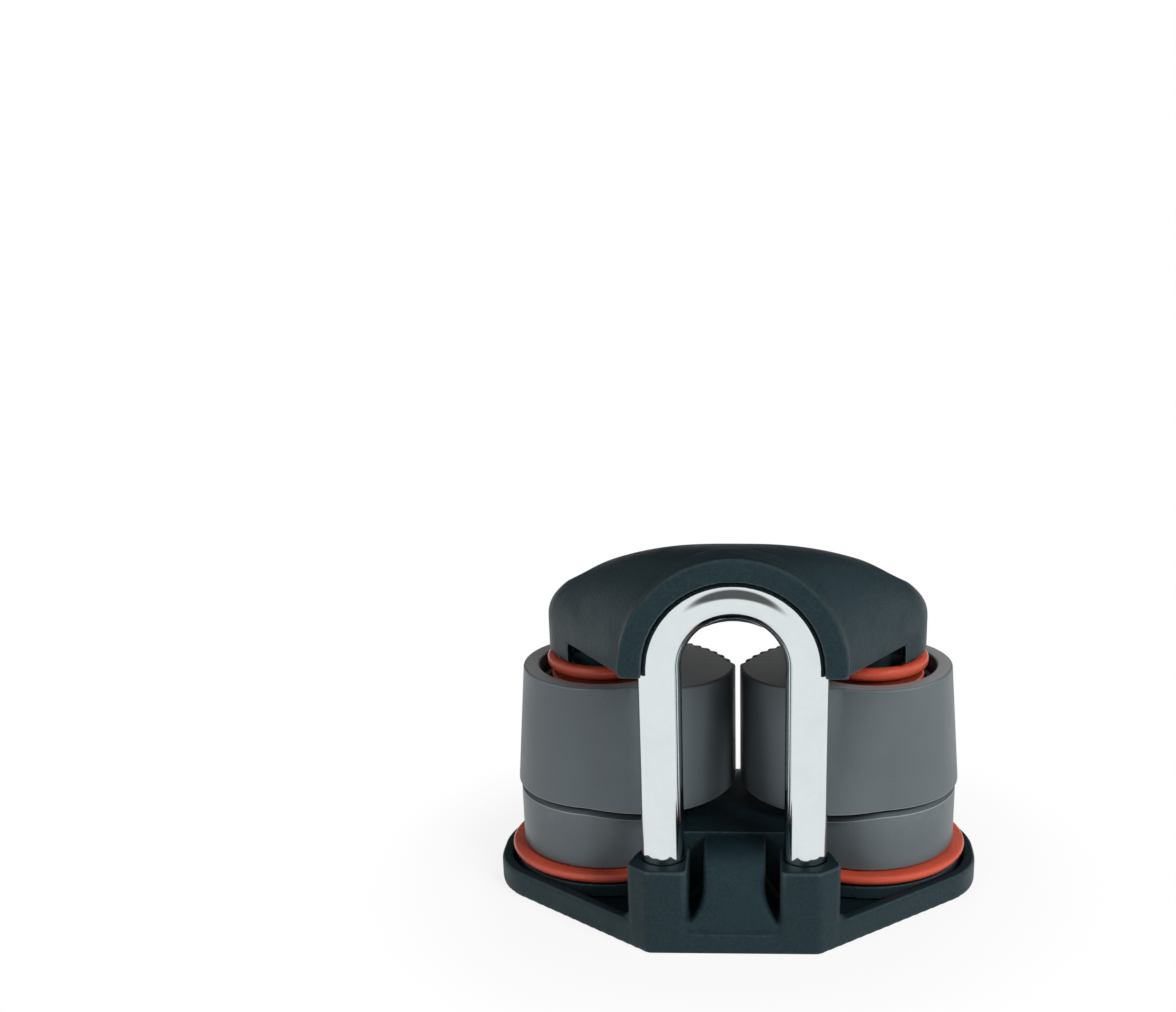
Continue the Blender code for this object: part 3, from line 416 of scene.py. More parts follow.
def prism(name, corners, low, high, edge=0.0, foot=0.0, foot_z=0.0, proud=0.0):
    """A prism with rounded corners and a quarter-round upper edge.

    With a foot, its sides spread below foot_z + foot in a concave quarter round of that radius.
    """
    loops = []
    if foot:
        loops.append(raised(outline_of(corners, -foot - proud), low))
        for angle in QUARTER:
            spread = foot * (1.0 - math.sin(angle))
            height = foot_z + foot * (1.0 - math.cos(angle))
            loops.append(raised(outline_of(corners, -spread - proud), height))
    else:
        loops.append(raised(outline_of(corners, -proud), low))
    if edge:
        for angle in QUARTER:
            inset = edge * (1.0 - math.cos(angle)) - proud
            loops.append(raised(outline_of(corners, inset), high - edge + edge * math.sin(angle)))
    else:
        loops.append(raised(outline_of(corners, -proud), high))
    return solid(name, np.array(loops))


def shaft(name, profile, centre_x, centre_y=0.0, sides=72):
    """A closed upright form turned from (radius, height) points."""
    points = turned(np.asarray(profile, dtype=float), centre_x, sides)
    points[..., 1] += centre_y
    return solid(name, points)


def shafts(name, profile, sides=72):
    """The same shaft on both pivots."""
    return [shaft(f"{name} {word}", profile, sign * PIVOT_X, sides=sides) for word, sign in SIDES]


def cuboid(name, low, high):
    """A cutting block between two corners."""
    outline = np.array(((low[0], low[1]), (high[0], low[1]), (high[0], high[1]), (low[0], high[1])))
    return solid(name, np.array((raised(outline, low[2]), raised(outline, high[2]))))


def shape_with(target, operation, tools):
    """Join the tools to the target, or take them from it, with exact Booleans."""
    for tool in tools:
        step = target.modifiers.new(tool.name, "BOOLEAN")
        step.operation = operation
        step.solver = "EXACT"
        step.object = tool


def tools_of(target):
    """The tools that shape a form, and the tools that shape those."""
    tools = [step.object for step in target.modifiers if step.type == "BOOLEAN"]
    return tools + [deeper for tool in tools for deeper in tools_of(tool)]


def moulded(target, voxel, passes, kept, drills, crisp=()):
    """Soften a form as a mould does: fine even faces, then smoothing that rounds every edge.

    A share of the faces is kept, fewest where the form is flat. The crisp forms are added and the
    drills taken away last, so that their edges stay as they are. The form's modifiers are worked out
    into its mesh, and the tools that shaped it are removed.
    """
    remesh = target.modifiers.new("even faces", "REMESH")
    remesh.mode = "VOXEL"
    remesh.voxel_size = voxel
    soften = target.modifiers.new("soft edges", "SMOOTH")
    soften.factor = 0.5
    soften.iterations = passes
    fewer = target.modifiers.new("fewer faces", "DECIMATE")
    fewer.ratio = kept
    if crisp:
        shape_with(target, "UNION", crisp)
    shape_with(target, "DIFFERENCE", drills)
    tools = tools_of(target)
    shaped = target.evaluated_get(bpy.context.evaluated_depsgraph_get())
    mesh = bpy.data.meshes.new_from_object(shaped)
    target.modifiers.clear()
    target.data = mesh
    mesh.shade_smooth()
    mesh.set_sharp_from_angle(angle=SHARP_ANGLE)
    for tool in tools:
        bpy.data.objects.remove(tool)
    return target


def mark_edges(mesh):
    """Store on each point how sharply it bulges: its mean curvature, in radians per millimetre.

    Along each edge the curvature is minus twice the offset to the neighbour, measured along the
    normal, over the edge's length squared. A point keeps the mean over its edges, and then the mean
    of that with its neighbours' values.
    """
    count = len(mesh.vertices)
    spots = np.empty(count * 3)
    mesh.vertices.foreach_get("co", spots)
    spots = spots.reshape(-1, 3)
    normals = np.empty(count * 3)
    mesh.vertices.foreach_get("normal", normals)
    normals = normals.reshape(-1, 3)
    edges = np.empty(len(mesh.edges) * 2, dtype=np.int32)
    mesh.edges.foreach_get("vertices", edges)
    start, end = edges.reshape(-1, 2).T
    offset = spots[end] - spots[start]
    squared = np.maximum((offset ** 2).sum(axis=1), 1e-12)
    shared = np.maximum(np.bincount(start, minlength=count) + np.bincount(end, minlength=count), 1)
    leaving = -2.0 * (offset * normals[start]).sum(axis=1) / squared
    arriving = 2.0 * (offset * normals[end]).sum(axis=1) / squared
    bulge = (np.bincount(start, leaving, count) + np.bincount(end, arriving, count)) / shared * MM
    limit = 4.0
    bulge = np.clip(bulge, -limit, limit)
    beside = (np.bincount(start, bulge[end], count) + np.bincount(end, bulge[start], count)) / shared
    attribute = mesh.attributes.new("bulge", "FLOAT", "POINT")
    attribute.data.foreach_set("value", (0.5 * (bulge + beside)).astype(np.float32))


def finish(piece, material, slot, body, *nodes):
    """Give a piece its finish and the nodes that it stands for; the slot is not used."""
    mark_edges(piece.data)
    piece.data.materials.clear()
    piece.data.materials.append(material)
    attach(piece, body)
    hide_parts(*nodes)


# Finishes

def add_node(tree, kind, values=None, **settings):
    """Add a node with plain settings and values for its unlinked inputs."""
    node = tree.nodes.new(kind)
    for name, value in settings.items():
        setattr(node, name, value)
    for name, value in (values or {}).items():
        node.inputs[name].default_value = value
    return node


def smooth_range(tree, values=None):
    """Add a node that maps a number from one range to another along a smooth step."""
    return add_node(tree, "ShaderNodeMapRange", values, interpolation_type="SMOOTHSTEP")


def wire(tree, *pairs):
    """Link the first socket of each pair, an output, to its second, an input."""
    for source, target in pairs:
        tree.links.new(source, target)


def effect_group(name, inputs, outputs):
    """A new node group with number inputs, given with their defaults, and number outputs."""
    tree = bpy.data.node_groups.new(name, "ShaderNodeTree")
    for label, value in inputs.items():
        socket = tree.interface.new_socket(label, in_out="INPUT", socket_type="NodeSocketFloat")
        socket.default_value = value
    for label in outputs:
        tree.interface.new_socket(label, in_out="OUTPUT", socket_type="NodeSocketFloat")
    return tree, add_node(tree, "NodeGroupInput"), add_node(tree, "NodeGroupOutput")


def in_millimetres(tree):
    """The place on the piece, in millimetres of its object space."""
    place = add_node(tree, "ShaderNodeTexCoord")
    scale = add_node(tree, "ShaderNodeVectorMath", operation="SCALE")
    scale.inputs["Scale"].default_value = 1.0 / MM
    tree.links.new(place.outputs["Object"], scale.inputs[0])
    return scale.outputs[0]


def grain_group():
    """Fine texture of a finish: small soft grains over a finer noise, each with its own height."""
    tree, given, result = effect_group("grain", {"Grains per mm": 3.0, "Softness": 0.5},
                                       ("Height", "Tone"))
    place = in_millimetres(tree)
    fine = add_node(tree, "ShaderNodeTexNoise", {"Detail": 3.0, "Roughness": 0.6})
    cells = add_node(tree, "ShaderNodeTexVoronoi", {"Smoothness": 0.6, "Randomness": 1.0},
                     feature="SMOOTH_F1")
    blend = add_node(tree, "ShaderNodeMix", data_type="FLOAT")
    wire(tree, (place, fine.inputs["Vector"]),
         (place, cells.inputs["Vector"]),
         (given.outputs["Grains per mm"], fine.inputs["Scale"]),
         (given.outputs["Grains per mm"], cells.inputs["Scale"]),
         (given.outputs["Softness"], blend.inputs["Factor"]),
         (cells.outputs["Distance"], blend.inputs["A"]),
         (fine.outputs["Fac"], blend.inputs["B"]),
         (blend.outputs["Result"], result.inputs["Height"]))
    spread = add_node(tree, "ShaderNodeMapRange", {"From Min": 0.35, "From Max": 0.7})
    wire(tree, (fine.outputs["Fac"], spread.inputs["Value"]),
         (spread.outputs["Result"], result.inputs["Tone"]))
    return tree


def edge_and_recess_group():
    """Masks of edges, for wear and a painted edge highlight, and of recesses, for painted shade: where a
    point bulges or is hollow.

    The edges are broken up by a noise.
    """
    tree, given, result = effect_group("edge and recess masks", {"Starts at": 0.5, "Full at": 1.6, "Breakup": 0.6},
                                       ("Mask", "Recess"))
    bulge = add_node(tree, "ShaderNodeAttribute", attribute_name="bulge")
    noise = add_node(tree, "ShaderNodeTexNoise", {"Scale": 0.9, "Detail": 4.0, "Roughness": 0.65})
    centred = add_node(tree, "ShaderNodeMath", {1: 0.5}, operation="SUBTRACT")
    scaled = add_node(tree, "ShaderNodeMath", operation="MULTIPLY")
    summed = add_node(tree, "ShaderNodeMath", operation="ADD")
    mask = smooth_range(tree)
    hollow = smooth_range(tree, {"From Min": -0.15, "From Max": -0.9})
    wire(tree, (bulge.outputs["Fac"], hollow.inputs["Value"]),
         (hollow.outputs["Result"], result.inputs["Recess"]),
         (in_millimetres(tree), noise.inputs["Vector"]),
         (noise.outputs["Fac"], centred.inputs[0]),
         (centred.outputs[0], scaled.inputs[0]),
         (given.outputs["Breakup"], scaled.inputs[1]),
         (scaled.outputs[0], summed.inputs[0]),
         (bulge.outputs["Fac"], summed.inputs[1]),
         (summed.outputs[0], mask.inputs["Value"]),
         (given.outputs["Starts at"], mask.inputs["From Min"]),
         (given.outputs["Full at"], mask.inputs["From Max"]),
         (mask.outputs["Result"], result.inputs["Mask"]))
    return tree


def handling_group():
    """Mask of handling: wide soft patches, as dust and fingers leave them."""
    tree, given, result = effect_group("handling", {"Patch in mm": 6.0}, ("Mask",))
    per_mm = add_node(tree, "ShaderNodeMath", {0: 1.0}, operation="DIVIDE")
    noise = add_node(tree, "ShaderNodeTexNoise", {"Detail": 3.0, "Roughness": 0.55, "Distortion": 0.4})
    mask = smooth_range(tree, {"From Min": 0.38, "From Max": 0.68})
    wire(tree, (given.outputs["Patch in mm"], per_mm.inputs[1]),
         (in_millimetres(tree), noise.inputs["Vector"]),
         (per_mm.outputs[0], noise.inputs["Scale"]),
         (noise.outputs["Fac"], mask.inputs["Value"]),
         (mask.outputs["Result"], result.inputs["Mask"]))
    return tree


def upper_face_group():
    """Mask of faces that look up, from the upright part of the normal, for painted light or shade from
    above.
    """
    tree, given, result = effect_group("upper faces", {"Starts at": 0.75, "Full at": 0.99}, ("Mask",))
    where = add_node(tree, "ShaderNodeTexCoord")
    parts = add_node(tree, "ShaderNodeSeparateXYZ")
    mask = smooth_range(tree)
    wire(tree, (where.outputs["Normal"], parts.inputs[0]),
         (parts.outputs["Z"], mask.inputs["Value"]),
         (given.outputs["Starts at"], mask.inputs["From Min"]),
         (given.outputs["Full at"], mask.inputs["From Max"]),
         (mask.outputs["Result"], result.inputs["Mask"]))
    return tree


def effect(tree, name, maker, values):
    """Add a node for the group of an effect, which is made once."""
    group = bpy.data.node_groups.get(name) or maker()
    return add_node(tree, "ShaderNodeGroup", values, node_tree=group)


def mix_colour(tree, factor, first, second):
    """Mix two colours, given as sockets or as colours, by a socket."""
    mix = add_node(tree, "ShaderNodeMix", data_type="RGBA")
    tree.links.new(factor, mix.inputs["Factor"])
    for key, value in ((6, first), (7, second)):
        if isinstance(value, bpy.types.NodeSocket):
            tree.links.new(value, mix.inputs[key])
        else:
            mix.inputs[key].default_value = (*value, 1.0)
    return mix.outputs[2]


def between(tree, factor, low, high):
    """A number that goes from low to high with a mask."""
    spread = add_node(tree, "ShaderNodeMapRange", {"To Min": low, "To Max": high})
    tree.links.new(factor, spread.inputs["Value"])
    return spread.outputs["Result"]


def finish_material(name, look):
    """A Principled finish with grain, handling, rubbed edges, and painted shade that darkens its recesses.

    The look gives its colours, its range of roughness, the size of its grain and its bump, and plain
    values for other sockets of the shader. An upper colour, painted light or shade from above, is kept
    for faces that look up.
    """
    known = bpy.data.materials.get(name)
    if known:
        return known
    material = bpy.data.materials.new(name)
    material.use_nodes = True
    tree = material.node_tree
    shader = tree.nodes["Principled BSDF"]
    grain = effect(tree, "grain", grain_group,
                   {"Grains per mm": look["grains"], "Softness": look["softness"]})
    edge_masks = effect(tree, "edge and recess masks", edge_and_recess_group,
                  {"Starts at": look["edge_masks"][0], "Full at": look["edge_masks"][1]})
    handling = effect(tree, "handling", handling_group, {"Patch in mm": look["patch"]})
    ground = look["ground"]
    lifted = [min(part * look["tone"], 1.0) for part in ground]
    hazed = [min(part * look["haze"], 1.0) for part in ground]
    toned = mix_colour(tree, grain.outputs["Tone"], ground, lifted)
    haze = between(tree, handling.outputs["Mask"], 0.0, look["haze_share"])
    dusted = mix_colour(tree, haze, toned, hazed)
    # Edges take the worn colour, which on the black moulding is also a painted edge highlight.
    worn = between(tree, edge_masks.outputs["Mask"], 0.0, look["edge_colour_share"])
    coloured = mix_colour(tree, worn, dusted, look["worn"])
    # Recesses darken towards a fifth of the ground colour, as painted shade.
    recess_shaded = between(tree, edge_masks.outputs["Recess"], 0.0, look.get("recess_shade", 0.85))
    coloured = mix_colour(tree, recess_shaded, coloured, [0.2 * part for part in ground])
    # Faces that look up take the upper colour: painted top shade on the black moulding, painted top light
    # on the cams.
    if "upper" in look:
        upper = effect(tree, "upper faces", upper_face_group, {"Starts at": look["upper_from"]})
        coloured = mix_colour(tree, upper.outputs["Mask"], coloured, look["upper"])
    tree.links.new(coloured, shader.inputs["Base Color"])
    low, high = look["roughness"]
    tree.links.new(between(tree, handling.outputs["Mask"], low, high), shader.inputs["Roughness"])
    if look["bump"]:
        bump = add_node(tree, "ShaderNodeBump", {"Distance": look["bump"]})
        wire(tree, (grain.outputs["Height"], bump.inputs["Height"]),
             (bump.outputs["Normal"], shader.inputs["Normal"]))
    for socket, value in look["plain"].items():
        shader.inputs[socket].default_value = value
    return material


def black_moulding(finishes):
    """Black glass-filled moulding with a fine spark grain."""
    # Its upper colour is painted shade on faces that look up, its worn colour is rubbed edges and a
    # painted edge highlight, and its recesses take a little painted shade.
    return finish_material("black moulding", {
        "ground": tuple(finishes.black), "worn": tuple(finishes.black_worn_and_highlight), "tone": 1.7, "haze": 1.5,
        "haze_share": 0.6, "edge_masks": (0.45, 1.8), "edge_colour_share": 0.4, "grains": 2.6, "softness": 0.55,
        "patch": 7.0, "roughness": (0.42, 0.56), "bump": 0.05 * MM, "upper": tuple(finishes.black_painted_top_shade),
        "upper_from": 0.75, "recess_shade": 0.3,
        "plain": {"Specular IOR Level": 0.2, "Specular Tint": (0.6, 0.9, 1.0, 1.0)}})


def hard_coat(finishes):
    """Satin grey hard coat on cast metal, thin on its edges."""
    # Its upper colour is painted light on faces that look up, and its recesses take painted shade.
    return finish_material("hard coat grey", {
        "ground": tuple(finishes.grey), "worn": tuple(finishes.grey_worn), "tone": 1.12, "haze": 1.2,
        "haze_share": 0.7, "edge_masks": (0.8, 2.4), "edge_colour_share": 0.45, "grains": 5.0, "softness": 0.8,
        "patch": 9.0, "roughness": (0.4, 0.5), "bump": 0.012 * MM, "upper": tuple(finishes.grey_painted_top_light),
        "upper_from": 0.93, "plain": {"Metallic": 0.35}})


def orange_moulding(finishes):
    """Smooth orange bearing plastic."""
    return finish_material("orange ring", {
        "ground": tuple(finishes.orange), "worn": tuple(finishes.orange_worn), "tone": 1.08,
        "haze": 0.85, "haze_share": 0.5, "edge_masks": (1.2, 3.0), "edge_colour_share": 0.4, "grains": 4.0,
        "softness": 0.9, "patch": 5.0, "roughness": (0.26, 0.38), "bump": 0.006 * MM, "plain": {}})


def polished_steel(finishes):
    """Mirror polished stainless with faint polishing haze."""
    return finish_material("polished steel", {
        "ground": tuple(finishes.steel), "worn": tuple(finishes.steel), "tone": 1.02, "haze": 0.95,
        "haze_share": 0.5, "edge_masks": (2.0, 4.0), "edge_colour_share": 0.2, "grains": 1.2, "softness": 1.0,
        "patch": 6.0, "roughness": (0.06, 0.12), "bump": 0.0, "recess_shade": 0.0, "plain": {"Metallic": 1.0}})


def plain_steel(finishes):
    """Turned stainless, duller than the bail."""
    return finish_material("plain steel", {
        "ground": tuple(finishes.dull), "worn": tuple(finishes.steel), "tone": 1.1, "haze": 0.85,
        "haze_share": 0.6, "edge_masks": (1.0, 3.0), "edge_colour_share": 0.6, "grains": 6.0, "softness": 0.7,
        "patch": 4.0, "roughness": (0.24, 0.36), "bump": 0.006 * MM, "plain": {"Metallic": 1.0}})


# Fairlead base

def base_corners(sizes):
    """Corners of the base: straight front, sloping flanks, round ends behind the pivots."""
    side_x = PIVOT_X + sizes.end_radius
    shoulder_y = sizes.front_y + (side_x - sizes.front_half) * math.tan(sizes.slope)
    half_turn = 0.5 * (0.5 * math.pi - sizes.slope)
    shoulder = -shoulder_y * sizes.shoulder_share / math.tan(half_turn)
    almost = 0.999
    right = [(sizes.front_half, sizes.front_y, sizes.corner), (side_x, shoulder_y, shoulder),
             (side_x, sizes.end_radius, almost * sizes.end_radius)]
    return right + [(-x, y, radius) for x, y, radius in reversed(right)]


def post_corners(sizes, sign):
    """Corners of a post, whose front follows the outline of the base."""
    outer = sizes.front_half + sizes.post_run
    flank_y = sizes.front_y + (outer - sizes.front_half) * math.tan(sizes.slope)
    corners = [(sizes.post_inner, sizes.front_y, sizes.post_corner),
               (sizes.front_half, sizes.front_y, sizes.corner), (outer, flank_y, sizes.corner),
               (sizes.post_side, sizes.post_back, sizes.post_round),
               (sizes.post_inner, sizes.post_back, sizes.post_corner)]
    return corners if sign > 0 else [(-x, y, radius) for x, y, radius in reversed(corners)]


def post_pair(name, sizes, low):
    """Both posts from a height up, a hair wider than their outline."""
    return [prism(f"{name} {word}", post_corners(sizes, sign), low, sizes.post_top, sizes.edge,
                  proud=0.04 * MM) for word, sign in SIDES]


def tongue_loops(sizes):
    """The rope tongue: loops that climb a quarter ellipse from the toe to the crest.

    At each angle the height goes with its sine and the depth with its cosine, and the half width
    gains the flare times the square of the share of the flare's height that is left.
    """
    loops = []
    back_edge = 0.1 * MM
    for angle in np.linspace(0.0, sizes.tongue_arc, 28):
        height = sizes.mouth_floor + (sizes.tongue_crest - sizes.mouth_floor) * math.sin(angle)
        front = sizes.tongue_back + (sizes.tongue_toe - sizes.tongue_back) * math.cos(angle)
        left = 1.0 - min((height - sizes.mouth_floor) / sizes.tongue_flare_height, 1.0)
        half = sizes.tongue_half + sizes.tongue_flare * left ** 2
        corners = [(-half, front, sizes.tongue_edge), (half, front, sizes.tongue_edge),
                   (half, sizes.tongue_back, back_edge), (-half, sizes.tongue_back, back_edge)]
        loops.append(raised(outline_of(corners, steps=8), height))
    foot = loops[0].copy()
    foot[:, 2] = 0.5 * sizes.floor
    return np.array([foot] + loops)


def base_prism(name, sizes, inset, low, high):
    """An upright form over the base's outline, moved inwards by the inset."""
    outline = outline_of(base_corners(sizes), inset)
    return solid(name, np.array((raised(outline, low), raised(outline, high))))


def post_fillet(name, sizes, sign):
    """The fillet of a post's foot, kept to the top of the tray's wall."""
    fillet = prism(name, post_corners(sizes, sign), sizes.floor, sizes.post_top - sizes.post_foot,
                   foot=sizes.post_foot, foot_z=sizes.wall_height)
    wall = base_prism("wall round post", sizes, sizes.edge, 0.0, sizes.post_top)
    tray = base_prism("tray by post", sizes, sizes.wall, 0.0, 2.0 * sizes.post_top)
    shape_with(fillet, "INTERSECT", [wall])
    shape_with(fillet, "DIFFERENCE", [tray])
    return fillet


class FAIRLEAD_OT_base(bpy.types.Operator):
    """Make the moulded base with its tray, posts, tongue and bores"""

    bl_idname = "fairlead.base"
    bl_label = "Fairlead base"

    def execute(self, context):
        scene = context.scene
        sizes = scene.fairlead_base
        bail = scene.fairlead_bail
        gaps = scene.fairlead_gaps
        far = 2.0 * sizes.post_top
        base = prism("base", base_corners(sizes), 0.0, sizes.wall_height, sizes.edge)
        hollow = base_prism("hollow", sizes, sizes.wall, sizes.floor, far)
        mouth_half = 0.5 * (sizes.post_inner + sizes.front_half)
        mouth = cuboid("mouth", (-mouth_half, sizes.front_y - sizes.wall, sizes.mouth_floor),
                       (mouth_half, sizes.front_y + 2.0 * sizes.wall, far))
        shape_with(base, "DIFFERENCE", [hollow, mouth])
        posts = post_pair("post", sizes, 0.5 * sizes.floor)
        fillets = [post_fillet(f"post fillet {word}", sizes, sign) for word, sign in SIDES]
        shape_with(base, "UNION", [*posts, *fillets, solid("tongue", tongue_loops(sizes))])
        hole = scene.fairlead_bearings.screw + gaps.rest
        drills = shafts("deck hole", ((hole, -sizes.floor), (hole, 2.0 * sizes.floor)))
        bore = bail.wire + gaps.seat
        ease = 0.15 * MM
        eased = ((bore, sizes.floor), (bore, sizes.post_top - ease), (bore + ease, sizes.post_top),
                 (bore + ease, far))
        drills += [shaft(f"bail bore {word}", eased, sign * bail.half_span, bail.y, sides=128)
                   for word, sign in SIDES]
        foot_top = sizes.wall_height + sizes.post_foot + sizes.edge
        tops = post_pair("post top", sizes, foot_top)
        moulded(base, voxel=0.22 * MM, passes=12, kept=0.5, drills=drills, crisp=tops)
        finish(base, black_moulding(scene.fairlead_finishes), "black_moulding", "fairlead",
               "fairlead_base")
        return {"FINISHED"}


# Cleat base

class FAIRLEAD_OT_cleat_base(bpy.types.Operator):
    """Make the two cam seats and the rope ramp between them"""

    bl_idname = "fairlead.cleat_base"
    bl_label = "Cleat base"

    def execute(self, context):
        scene = context.scene
        sizes = scene.fairlead_cleat
        base = scene.fairlead_base
        bearings = scene.fairlead_bearings
        gap = scene.fairlead_gaps.rest
        low = base.floor + gap
        reach = (-base.front_y * math.cos(base.slope)
                 - (PIVOT_X - base.front_half) * math.sin(base.slope))
        plate = min(reach, base.end_radius) - base.wall - gap
        back = base.end_radius - base.wall - gap
        front = base.tongue_back + gap
        far = 2.0 * sizes.ramp_top
        foot_edge = 0.1 * MM
        loops = []
        for y in np.linspace(front, back, 40):
            fall = max(y - sizes.ramp_fall_y, 0.0) / (back - sizes.ramp_fall_y)
            drop = 1.0 - math.sqrt(1.0 - fall ** 2)
            top = sizes.ramp_top - (sizes.ramp_top - sizes.ramp_back_top) * drop
            corners = [(-sizes.ramp_half, low, foot_edge), (sizes.ramp_half, low, foot_edge),
                       (sizes.ramp_half, top, sizes.ramp_edge), (-sizes.ramp_half, top, sizes.ramp_edge)]
            outline = outline_of(corners, steps=6)
            loops.append(np.column_stack((outline[:, 0], np.full(len(outline), y), outline[:, 1])))
        ramp = solid("ramp", np.array(loops))
        room = bearings.lower_ring + gap
        rooms = shafts("ring room", ((room, base.wall_height), (room, far)), sides=144)
        shape_with(ramp, "DIFFERENCE", rooms)
        plates = shafts("plate", ((plate, low), (plate, base.wall_height)), sides=144)
        shape_with(ramp, "UNION", plates)
        recess = bearings.sleeve + gap
        hole = bearings.screw + gap
        leg = bearings.spring_wire + gap
        cutters = []
        for word, sign in SIDES:
            cutters.append(shaft(f"sleeve seat {word}",
                                 ((recess, base.wall_height - sizes.sleeve_recess), (recess, far)),
                                 sign * PIVOT_X))
            cutters.append(shaft(f"screw hole {word}", ((hole, 0.0), (hole, far)), sign * PIVOT_X))
            leg_x, leg_y = spring_leg(bearings, sign)
            cutters.append(shaft(f"leg hole {word}", ((leg, 0.0), (leg, far)), leg_x, leg_y, sides=32))
        ramp.name = "cam_seats"
        moulded(ramp, voxel=0.25 * MM, passes=6, kept=0.5, drills=cutters)
        finish(ramp, black_moulding(scene.fairlead_finishes), "black_moulding", "fairlead",
               "cleat_base")
        return {"FINISHED"}


# Bail

def bail_path(bail, low, steps=97):
    """Centre line of the bail: up one leg, round half a circle and down the other leg."""
    angle = np.linspace(0.0, math.pi, steps)
    arch = np.column_stack((bail.half_span * np.cos(angle), np.full(steps, bail.y),
                            bail.arc_z + bail.half_span * np.sin(angle)))
    return np.vstack(((bail.half_span, bail.y, low), arch, (-bail.half_span, bail.y, low)))


class FAIRLEAD_OT_bail(bpy.types.Operator):
    """Make the polished wire bail"""

    bl_idname = "fairlead.bail"
    bl_label = "Bail"

    def execute(self, context):
        scene = context.scene
        sizes = scene.fairlead_bail
        low = scene.fairlead_base.floor + scene.fairlead_gaps.rest + 0.25 * sizes.wire
        path = evenly_along(bail_path(sizes, low), 0.35 * MM)
        bail = surface("bail_wire", carried(path, sizes.wire, sides=96))
        steel = polished_steel(scene.fairlead_finishes)
        finish(bail, steel, "polished_steel", "fairlead", "bail")
        return {"FINISHED"}


# Cams

def cam_reach(angle, sizes, plain, nose):
    """Radius of the right cam at angles about its pivot, given a plain radius and the nose's angle.

    Up to the tip the radius is the plain one times (tip over plain) to the power of the growth, which
    rises from 0 to 1 along the spiral. Past the tip the height above the plain radius is the tip's
    times (1 - s cubed) squared, s being the share of the nose that is passed.
    """
    tip = PIVOT_X - 0.5 * sizes.tip_gap
    angle = np.where(angle > sizes.tip + nose, angle - TURN, angle)
    growth = np.clip(1.0 - (sizes.tip - angle) / sizes.spiral, 0.0, 1.0)
    spiral = plain * (tip / plain) ** growth
    passed = np.clip((angle - sizes.tip) / nose, 0.0, 1.0)
    past = plain + (tip - plain) * (1.0 - passed ** 3) ** 2
    return np.where(angle <= sizes.tip, spiral, past)


def tooth_cut(angle, sizes):
    """Depth of the tooth gaps: steep on one side, easy on the other, with a flat root between."""
    run = sizes.spiral * sizes.toothed
    passed = (angle - (sizes.tip - run)) / run * sizes.teeth
    places = (0.0, 0.04, 0.28, 0.34, 0.75, 0.96, 1.0)
    shares = (0.0, 0.04, 0.96, 1.0, 0.3, 0.02, 0.0)
    depth = np.interp(passed % 1.0, places, shares)
    return np.where((passed > 0.0) & (passed < sizes.teeth), depth * sizes.tooth_depth, 0.0)


def cam_profile(sizes, low, room_top):
    """Section of a cam as rows of (inset, height, kind), round which its outline is carried.

    The kind says what the inset is taken from: "round" rows are circles of that radius, "foot" and
    "wall" rows lie inside the outline, whose plain radius goes from the skirt to the rim.
    """
    edge, groove, step_z, top = sizes.edge, sizes.groove, sizes.step_z, sizes.top
    recess_z = top - sizes.recess_depth
    fine = 0.15 * MM
    lower = round_profile(((sizes.spring_room, low + 1.0 * MM), (sizes.spring_room, low),
                           (sizes.lower, low), (sizes.lower, step_z - groove),
                           (sizes.lower - groove, step_z - 0.3 * groove),
                           (sizes.lower - groove, step_z), (sizes.lower - 0.5 * groove, step_z)),
                          (fine, edge, fine, fine, fine), steps=6)
    angles = np.linspace(math.pi / 2.0, 0.0, 8)
    low_edge = 0.6 * edge
    foot = np.column_stack((low_edge * (1.0 - np.cos(angles)),
                            step_z + low_edge * (1.0 - np.sin(angles))))
    climb = np.linspace(step_z + low_edge, top - edge, 28)[1:-1]
    wall = np.column_stack((np.zeros(len(climb)), climb))
    crown = np.column_stack((edge * (1.0 - np.cos(angles)), top - edge * (1.0 - np.sin(angles))))[::-1]
    inner = round_profile(((sizes.recess + 1.0 * MM, top), (sizes.recess, top), (sizes.recess, recess_z),
                           (sizes.bore, recess_z), (sizes.bore, room_top + sizes.bore_step),
                           (sizes.spring_room, room_top), (sizes.spring_room, low + 2.0 * MM)),
                          (2.0 * fine, fine, fine, fine, fine), steps=4)
    return lower, np.vstack((foot, wall, crown)), inner


def cam_points(sizes, sign, low, room_top):
    """The whole skin of a cam as a grid: rows go up the outside and down the bore, columns round.

    The groove under the step goes down by a share of the step's overhang at each angle, so that it
    shows as a line of even width.
    """
    start = sizes.tip - sizes.spiral * sizes.toothed
    toothed = np.linspace(start, sizes.tip, 300, endpoint=False)
    plain = np.linspace(sizes.tip, start + TURN, 480, endpoint=False)
    angle = np.concatenate((toothed, plain))[None, :]
    lower, wall, inner = cam_profile(sizes, low, room_top)
    inset, height = wall[:, 0, None], wall[:, 1, None]
    climb = sizes.top - sizes.step_z - 2.0 * sizes.edge
    rise = np.clip((height - sizes.step_z - sizes.edge) / climb, 0.0, 1.0)
    skirt = cam_reach(angle, sizes, sizes.skirt, sizes.nose_low)
    rim = cam_reach(angle, sizes, sizes.rim, sizes.nose_top)
    outer = skirt * (1.0 - rise) + rim * rise - tooth_cut(angle, sizes) - inset
    count = angle.shape[1]
    radius = np.vstack((np.broadcast_to(lower[:, :1], (len(lower), count)), outer,
                        np.broadcast_to(inner[:, :1], (len(inner), count))))
    heights = np.concatenate((lower[:, 1], wall[:, 1], inner[:, 1]))[:, None]
    heights = np.broadcast_to(heights, radius.shape).copy()
    in_groove = np.abs(heights[:, 0] - sizes.step_z + sizes.groove) < 0.8 * sizes.groove
    in_groove[len(lower):] = False
    heights[in_groove] -= sizes.groove_drop * (skirt - sizes.lower)
    across = sign * (PIVOT_X + radius * np.cos(angle))
    return np.stack((across, radius * np.sin(angle), heights), axis=-1)


